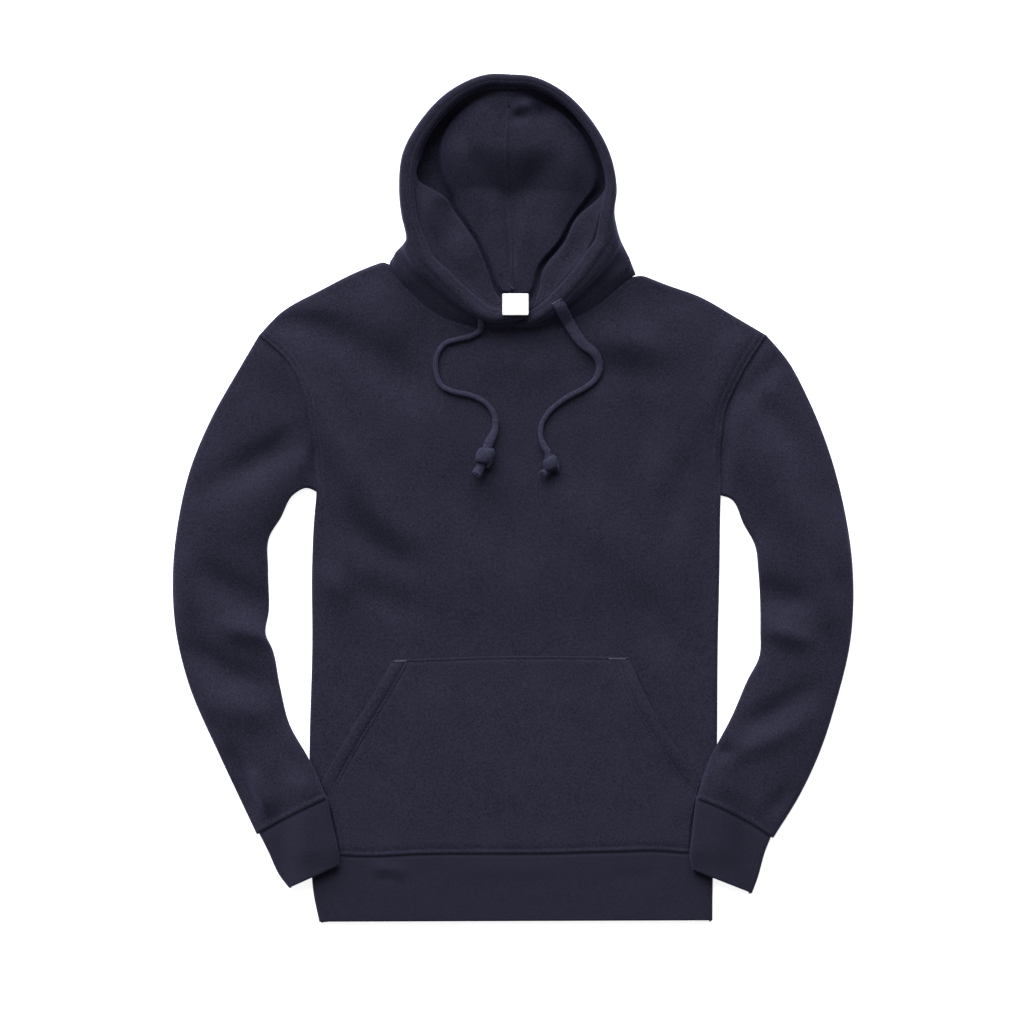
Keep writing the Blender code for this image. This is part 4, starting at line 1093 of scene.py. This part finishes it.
label_material, tree, shader = new_material("woven_label", 0.75)
tinted(tree, shader, noise(tree, 900, 2), (0.70, 0.70, 0.68), (0.82, 0.82, 0.80))
raised(tree, shader, ((noise(tree, 1800, 2, (1, 0.2, 1), "UV"), 0.0002, 0.5),))
LABEL_CENTRE = 3.0
LABEL_WIDTH = 29.0
LABEL_FREE_EDGE = (661, 39.4)
LABEL_SEWN_EDGE = (685, 31.5)
column, row = np.meshgrid(np.linspace(0, 1, 13), np.linspace(0, 1, 11))
label_x = LABEL_CENTRE + (column - 0.5) * LABEL_WIDTH
label_y = LABEL_FREE_EDGE[0] + row * (LABEL_SEWN_EDGE[0] - LABEL_FREE_EDGE[0])
label_z = LABEL_FREE_EDGE[1] + row * (LABEL_SEWN_EDGE[1] - LABEL_FREE_EDGE[1]) - 0.8 * (2 * column - 1)**2
label = cloth_piece("neck_label_tab", np.dstack([label_x, label_y, label_z]), 1.0, label_material,
                    "neck_label")


# ------------------------------------------------------------------ drawcord
# Flat knitted tape drawn through the rim's tunnel, its two free ends knotted and laid on
# the chest in loose curves.

CORD_RADIUS = 3.2
LAID_GAP = 0.2
CORD_ROUTES = {
    "R": ((-35.5, 661, 29, 0), (-34.5, 651.5, 24, 0), (-36.5, 644, 17.5, 0), (-45, 639, 0, 1),
          (-60, 635, 0, 1), (-73, 631, 0, 1), (-82, 619, 0, 1), (-84, 603, 0, 1), (-77, 584, 0, 1),
          (-64, 578, 0, 1), (-46, 574, 0, 1), (-30, 566, 0, 1), (-20, 552, 0, 1), (-19, 538, 1.5, 1),
          (-27, 520, 4.6, 1)),
    "L": ((47, 678.5, 31, 0), (49.5, 674.5, 35, 0), (52.5, 669, 33.5, 0), (56.5, 661, 26, 0),
          (61, 653.5, 3, 1), (67, 643, 2.2, 1), (78, 629, 1.2, 1), (89, 620, 0.9, 1),
          (94.5, 608, 0.9, 1), (91, 593, 0.4, 1), (80, 583, 0, 1), (66, 575.5, 0, 1), (52, 567, 0, 1),
          (38, 554, 0, 1), (31, 540, 0, 1), (31, 526, 1.5, 1), (39.5, 510, 4.6, 1)),
}
# share of the cord, width, thickness
CORD_SECTIONS = {
    "R": ((0, 7, 3.4), (0.1, 6.0, 4.0), (0.3, 5.6, 4.2), (0.8, 5.6, 4.2), (0.92, 7.5, 4.4), (1, 11, 4.6)),
    "L": ((0, 13, 2.8), (0.24, 12, 3.0), (0.4, 8.4, 3.8), (0.52, 6.0, 4.2), (0.9, 5.6, 4.2), (1, 7.5, 4.6)),
}
knit_tape = fleece("knit_tape", (0.0275, 0.0275, 0.0500))


def cord_route(side):
    rows = []
    for x, y, z, laid in CORD_ROUTES[side]:
        rows.append((x, y, z + laid * (front_height(x, y) + CORD_RADIUS + LAID_GAP)))
    line = curve_through(rows)(np.linspace(0, 1, 90))
    line[:, 2] = np.maximum(line[:, 2], front_height(line[:, 0], line[:, 1]) + CORD_RADIUS + LAID_GAP)
    return line


def unit(rows):
    return rows / np.linalg.norm(rows, axis=1, keepdims=True)


def ringed(line, aside, over, widths, heights, sides):
    """Vertices and faces of a closed tube of ellipses that stand along a line."""
    angle = np.linspace(0, 2 * np.pi, sides, endpoint=False)
    rings = (line[:, None] + aside[:, None] * (np.cos(angle)[None, :, None] * widths[:, None, None] / 2)
             + over[:, None] * (np.sin(angle)[None, :, None] * heights[:, None, None] / 2))
    count = len(line)
    faces = [(r * sides + c, r * sides + (c + 1) % sides, (r + 1) * sides + (c + 1) % sides,
              (r + 1) * sides + c) for r in range(count - 1) for c in range(sides)]
    faces.append(tuple(range(sides))[::-1])
    faces.append(tuple(range((count - 1) * sides, count * sides)))
    return rings.reshape(-1, 3), faces


def swept(line, widths, heights, sides=14):
    """A soft tube along a line, its section an ellipse laid flat."""
    along = unit(np.gradient(line, axis=0))
    aside = unit(np.cross(along, [0, 0, 1.0]))
    return ringed(line, aside, np.cross(aside, along), widths, heights, sides)


def ribbon(line, centre, axis, width, thickness, sides=12):
    """Tape wound round an axis: an ellipse whose flat side faces the axis, along a line."""
    along = unit(np.gradient(line, axis=0))
    outward = line - centre
    outward -= (outward @ axis)[:, None] * axis
    outward -= np.sum(outward * along, axis=1)[:, None] * along
    outward = unit(outward)
    wide, thick = np.full(len(line), width), np.full(len(line), thickness)
    return ringed(line, np.cross(along, outward), outward, wide, thick, sides)


def tape_piece(name, parts):
    """One object of several swept parts."""
    points, faces = [], []
    for part_points, part_faces in parts:
        start = len(points)
        points.extend(part_points.tolist())
        faces.extend([tuple(k + start for k in face) for face in part_faces])
    placed = (np.array(points) - np.array([0, LENGTH_OVERALL / 2, 0])) * MM
    mesh = bpy.data.meshes.new(name)
    mesh.from_pydata(placed.tolist(), [], faces)
    mesh.materials.append(knit_tape)
    mesh.shade_smooth()
    piece = bpy.data.objects.new(name, mesh)
    bpy.context.scene.collection.objects.link(piece)
    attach(piece, "root")
    return piece


# the knot's middle x, y; the ways the cord comes in and the tail goes out, in degrees; its size
# against a plain one; then the tail's length and width and how far its yarns fray
KNOTS = {
    "R": (-30, 507, -104, -118, 1.3, 19, 11.5, 0.5),
    "L": (42, 499, -72, -142, 1.1, 13, 9.0, 1.5),
}
KNOT_LENGTH = 11.0
WRAP_RADIUS = 5.6
WRAP_TAPE = (12.5, 4.6)     # width and thickness of the tape as it lies in the knot
WRAP_TURNS = 1.2
WRAP_START = 0.6            # radians before the side
WRAP_FLAT = 0.8             # height of the wrap against its width
WRAP_NARROWS = 0.25
KNOT_LIFT = 2.6
CORE_WIDTHS = ((0, 0.4, 0.72, 1), (7.2, 8.6, 12.5, 8))      # at these shares of its length
CORE_FLAT = 0.86
TAIL_FLAT = 0.7
YARN_ENDS = 26
YARN_SPREAD = (0.42, 0.28)  # across and up, against the tail's width
YARN_WIDTH = 0.8


def hollow_end(part, sides, line):
    """The swept part with its far cap sunk in, as a cut tubular tape shows."""
    points, faces = part
    last = points[-sides:]
    middle, back = last.mean(axis=0), line[-1] - line[-2]
    back = back / np.linalg.norm(back) * 4.0
    start = len(points)
    rims = [middle + (last - middle) * 0.66, middle + (last - middle) * 0.5 - back]
    faces = faces[:-1]
    for first, second in ((start - sides, start), (start, start + sides)):
        faces += [(first + c, first + (c + 1) % sides, second + (c + 1) % sides, second + c)
                  for c in range(sides)]
    faces.append(tuple(range(start + sides, start + 2 * sides)))
    return np.concatenate([points, *rims]), faces


def knot_parts(side):
    """An overhand knot: a core, one broad turn of tape round it and a cut, frayed tail."""
    x, y, into, out, size, tail_length, tail_width, fray = KNOTS[side]
    middle = np.array([x, y, float(front_height(x, y)) + size * WRAP_RADIUS * WRAP_FLAT + KNOT_LIFT])
    into = np.array([np.cos(np.radians(into)), np.sin(np.radians(into)), 0])
    out = np.array([np.cos(np.radians(out)), np.sin(np.radians(out)), -0.2])
    across, upward = np.array([-into[1], into[0], 0]), np.array([0, 0, 1.0])
    t = np.linspace(0, 1, 56)
    turn = 2 * np.pi * WRAP_TURNS * t - WRAP_START
    radius = size * WRAP_RADIUS * (1 - WRAP_NARROWS * abs(2 * t - 1)**3)
    wrap = (middle + into * ((t - 0.5) * KNOT_LENGTH * 0.5 * size)[:, None]
            + across * (np.cos(turn) * radius)[:, None]
            + upward * (np.sin(turn) * radius * WRAP_FLAT)[:, None])
    share = np.linspace(0, 1, 20)
    core = middle + into * size * KNOT_LENGTH * (1.45 * share - 1)[:, None]
    swell = size * np.interp(share, *CORE_WIDTHS)
    share = np.linspace(0, 1, 14)
    tail = middle + into * 3 + out * tail_length * share[:, None] + upward * 5 * (share**3)[:, None]
    tail[:, 2] = np.maximum(tail[:, 2], front_height(tail[:, 0], tail[:, 1]) + 0.36 * tail_width)
    flare = tail_width * (0.74 + 0.26 * share)
    parts = [ribbon(wrap, middle, into, *(size * k for k in WRAP_TAPE)),
             swept(core, swell, swell * CORE_FLAT, 12),
             hollow_end(swept(tail, flare, flare * TAIL_FLAT, 14), 14, tail)]
    spread = np.random.default_rng({"R": 4, "L": 9}[side])
    side_way = np.array([-out[1], out[0], 0])
    for k in range(YARN_ENDS):
        angle = 2 * np.pi * (k + spread.uniform(-0.3, 0.3)) / YARN_ENDS
        root = (tail[-1] + side_way * np.cos(angle) * tail_width * YARN_SPREAD[0]
                + upward * np.sin(angle) * tail_width * YARN_SPREAD[1])
        tip = root + out * spread.uniform(0.5, 1.5 + fray) + spread.uniform(-fray, fray, 3)
        fibre = root - out + (tip - root + out) * np.linspace(0, 1, 4)[:, None]
        parts.append(swept(fibre, np.full(4, YARN_WIDTH), np.full(4, YARN_WIDTH), 5))
    return parts


for side, wearer in WEARER.items():
    line = cord_route(side)
    share = np.linspace(0, 1, len(line))
    sections = np.array(CORD_SECTIONS[side])
    wide, thick = (np.interp(share, sections[:, 0], sections[:, k]) for k in (1, 2))
    cord = tape_piece(f"{wearer}_tape", [swept(line, wide, thick)])
    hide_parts(f"{wearer}_drawcord")
    knot = tape_piece(f"{wearer}_knot", knot_parts(side))
    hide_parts(f"{wearer}_cord_knot")
    path = [(x * MM, (y - LENGTH_OVERALL / 2) * MM, z * MM) for x, y, z in line]
    length = float(np.linalg.norm(np.diff(np.array(path), axis=0), axis=1).sum())


# ------------------------------------------------------------------ sewing
# Polyester thread in the body's navy: twin rows round the rim, neck, armholes and pocket
# mouths, single rows at the ribs and the pocket's top, and bar tacks where a hand pulls.

STITCH_PITCH = 3.1
STITCH_LENGTH = 2.5
THREAD = 0.75
RIB_STITCH_LENGTH = 1.9
POCKET_SIDE_STITCHES = 2.4  # rows' distances in from their edges
CUFF_STITCHES = 2.2
WAISTBAND_STITCHES = 2.6
WAISTBAND_ROW = 216.0       # half the width that the waistband's row is set out over
TACK_PITCH = 0.75
POCKET_TACKS = (((-128, 284), (-116, 284.6)), ((105, 287), (123, 286.6)))
POCKET_TACK_LENGTH = 2.4
CORD_TACKS = (((43, 673), (53, 678.5)),)
CORD_TACK_LENGTH = 2.2
ABOVE = 70.0                # height from which the rows are dropped onto the cloth
thread_material = fleece("sewing_thread", (0.030, 0.030, 0.052), 0.15)
tack_material = fleece("tack_thread", (0.085, 0.085, 0.115), 0.2)


def stitch_tree():
    """Geometry Nodes: drops lines onto a cloth and sets a thread stitch at each pitch of them."""
    tree, given, made = new_tree("Stitches", {
        "Cloth": "Object", "Pitch": "Float", "Length": "Float", "Thread": "Float", "Turn": "Float",
        "Finish": "Material"})
    add, link = tree.nodes.new, tree.links.new
    curve, spaced = add("GeometryNodeMeshToCurve"), add("GeometryNodeResampleCurve")
    if "Mode" in spaced.inputs:
        spaced.inputs["Mode"].default_value = "Length"
    else:
        spaced.mode = "LENGTH"
    link(given.outputs["Geometry"], curve.inputs["Mesh"])
    link(curve.outputs["Curve"], spaced.inputs["Curve"])
    link(given.outputs["Pitch"], spaced.inputs["Length"])
    cloth, ray = add("GeometryNodeObjectInfo"), add("GeometryNodeRaycast")
    link(given.outputs["Cloth"], cloth.inputs["Object"])
    link(cloth.outputs["Geometry"], ray.inputs["Target Geometry"])
    ray.inputs["Ray Direction"].default_value = (0, 0, -1)
    ray.inputs["Ray Length"].default_value = 1
    kept = add("GeometryNodeStoreNamedAttribute")
    kept.data_type, kept.domain = "FLOAT_VECTOR", "POINT"
    kept.inputs["Name"].default_value = "cloth_normal"
    link(spaced.outputs["Curve"], kept.inputs["Geometry"])
    link(ray.outputs["Hit Normal"], kept.inputs["Value"])
    dropped = add("GeometryNodeSetPosition")
    link(kept.outputs["Geometry"], dropped.inputs["Geometry"])
    link(ray.outputs["Hit Position"], dropped.inputs["Position"])
    tangent, normal = add("GeometryNodeInputTangent"), add("GeometryNodeInputNamedAttribute")
    normal.data_type = "FLOAT_VECTOR"
    normal.inputs["Name"].default_value = "cloth_normal"
    up, forward = add("FunctionNodeAlignRotationToVector"), add("FunctionNodeAlignRotationToVector")
    up.axis, forward.axis, forward.pivot_axis = "Z", "X", "Z"
    link(normal.outputs["Attribute"], up.inputs["Vector"])
    link(up.outputs["Rotation"], forward.inputs["Rotation"])
    link(tangent.outputs["Tangent"], forward.inputs["Vector"])
    turn, turned_by = add("ShaderNodeCombineXYZ"), add("FunctionNodeRotateRotation")
    turned_by.rotation_space = "LOCAL"
    link(given.outputs["Turn"], turn.inputs["Z"])
    to_rotation = add("FunctionNodeEulerToRotation")
    link(turn.outputs["Vector"], to_rotation.inputs["Euler"])
    link(forward.outputs["Rotation"], turned_by.inputs["Rotation"])
    link(to_rotation.outputs["Rotation"], turned_by.inputs["Rotate By"])
    bead = add("GeometryNodeMeshUVSphere")
    bead.inputs["Segments"].default_value, bead.inputs["Rings"].default_value = 6, 6
    bead.inputs["Radius"].default_value = 0.5
    size = add("ShaderNodeCombineXYZ")
    link(given.outputs["Length"], size.inputs["X"])
    link(given.outputs["Thread"], size.inputs["Y"])
    link(given.outputs["Thread"], size.inputs["Z"])
    placed = add("GeometryNodeInstanceOnPoints")
    length, hit = add("ShaderNodeVectorMath"), add("ShaderNodeMath")
    length.operation, hit.operation = "LENGTH", "GREATER_THAN"
    link(normal.outputs["Attribute"], length.inputs[0])
    link(length.outputs["Value"], hit.inputs[0])
    link(hit.outputs["Value"], placed.inputs["Selection"])
    link(dropped.outputs["Geometry"], placed.inputs["Points"])
    link(bead.outputs["Mesh"], placed.inputs["Instance"])
    link(turned_by.outputs["Rotation"], placed.inputs["Rotation"])
    link(size.outputs["Vector"], placed.inputs["Scale"])
    return finished_tree(tree, placed.outputs["Instances"], given.outputs["Finish"], made)


stitches = stitch_tree()


def sewn(name, lines, cloth, finish=thread_material, pitch=STITCH_PITCH, length=STITCH_LENGTH, turn=0.0):
    """Rows of stitches along plan lines, dropped onto the cloth piece."""
    points, edges = [], []
    for line in lines:
        start = len(points)
        points.extend([(x * MM, (y - LENGTH_OVERALL / 2) * MM, ABOVE * MM) for x, y in line])
        edges.extend([(k, k + 1) for k in range(start, len(points) - 1)])
    mesh = bpy.data.meshes.new(name)
    mesh.from_pydata(points, edges, [])
    piece = bpy.data.objects.new(name, mesh)
    bpy.context.scene.collection.objects.link(piece)
    by_tree(piece, stitches, {"Cloth": cloth, "Pitch": pitch * MM, "Length": length * MM,
                              "Thread": THREAD * MM, "Turn": turn, "Finish": finish})
    piece.data.shade_smooth()
    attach(piece, "root")
    return piece


along = np.linspace(0.02, 0.98, 70)
for side, wearer in WEARER.items():
    def rows_in(edges, distances, shares):
        """Rows at the distances in from one of this side's edges."""
        return [beside(outline(edges, side), OUTWARD[side] * row)(shares) for row in distances]

    sewn(f"{wearer}_rim_stitches", [line[3:-3] for line in rim_rows[side].values()], hood_halves[side])
    sewn(f"{wearer}_armhole_stitches", rows_in(ARMHOLE, ARMHOLE_STITCHES, along), front)
    sewn(f"{wearer}_neck_stitches", rows_in(NECK_FRONT, NECK_STITCHES, np.linspace(0.1, 1, 60)), front)
    sewn(f"{wearer}_pocket_stitches",
         rows_in(POCKET_MOUTH, MOUTH_STITCHES, np.linspace(0.02, 0.97, 40))
         + rows_in(POCKET_SIDE, (POCKET_SIDE_STITCHES,), np.linspace(0.1, 0.95, 20)), pocket)
    cuff_row = bowed(*(outline(edges, side)(0) for edges in (CUFF_INNER, CUFF_OUTER)), CUFF_BOW[side])
    sewn(f"{wearer}_cuff_stitches",
         [cuff_row(np.linspace(0.04, 0.96, 30)) - np.array([0, CUFF_STITCHES])], cuffs[side],
         length=RIB_STITCH_LENGTH)

t = np.linspace(0.03, 0.97, 60)
top = plan(curve_through(POCKET_TOP))
sewn("pocket_top_stitches", [top(t) - np.array([0, TOP_STITCHES])], pocket)
x = -WAISTBAND_ROW + 2 * WAISTBAND_ROW * t
sewn("waistband_stitches",
     [np.stack([x, WAISTBAND_SEAM - WAISTBAND_STITCHES + seam_wave(x)], axis=1)], waistband,
     length=RIB_STITCH_LENGTH)
for name, tacks, cloth, length in (
        ("pocket_bar_tacks", POCKET_TACKS, pocket, POCKET_TACK_LENGTH),
        ("cord_bar_tack", CORD_TACKS, hood_halves["L"], CORD_TACK_LENGTH)):
    sewn(name, [np.linspace(*ends, 8) for ends in tacks], cloth, tack_material, TACK_PITCH, length,
         np.pi / 2)


# ------------------------------------------------------------------ surface, light and camera
# A pale surface lit from the hood's end by a large soft lamp, seen from straight above.

VIEW_WIDTH = 1.1162
VIEW_CENTRE = (-0.0008, -0.0151)
LENS = 400.0
SENSOR = 36.0
SURFACE_SIZE = 12.0
SURFACE_DROP = 0.0004       # how far under z = 0 the surface is set
SURFACE_GLOW = 0.8
LAMP_FROM = (-0.24, 0.94, 0.6)
LAMP_STRENGTH = 5.9
LAMP_WIDTH = 1.1            # radians
ROOM_LIGHT = 0.25

floor_material, tree, shader = new_material("pale_surface", 0.9)
shader.inputs["Base Color"].default_value = (0.9, 0.9, 0.9, 1)
shader.inputs["Emission Color"].default_value = (1, 1, 1, 1)
shader.inputs["Emission Strength"].default_value = SURFACE_GLOW
bpy.ops.mesh.primitive_plane_add(size=SURFACE_SIZE, location=(0, 0, -SURFACE_DROP))
floor = bpy.context.object
floor.name = "surface"
floor.data.materials.append(floor_material)

lamp = bpy.data.lights.new("key", "SUN")
lamp.energy = LAMP_STRENGTH
lamp.angle = LAMP_WIDTH
key = bpy.data.objects.new("key", lamp)
bpy.context.scene.collection.objects.link(key)
key.rotation_euler = Vector(LAMP_FROM).to_track_quat("Z", "Y").to_euler()
world = bpy.data.worlds.new("studio")
bpy.context.scene.world = world
world.use_nodes = True
background = world.node_tree.nodes["Background"]
background.inputs["Color"].default_value = (1, 1, 1, 1)
background.inputs["Strength"].default_value = ROOM_LIGHT

lens = bpy.data.cameras.new("camera")
lens.lens = LENS
lens.sensor_width = SENSOR
lens.clip_end = 100
camera = bpy.data.objects.new("camera", lens)
bpy.context.scene.collection.objects.link(camera)
camera.location = (*VIEW_CENTRE, VIEW_WIDTH * LENS / SENSOR + 0.01)
bpy.context.scene.camera = camera
bpy.context.scene.view_settings.view_transform = "Standard"
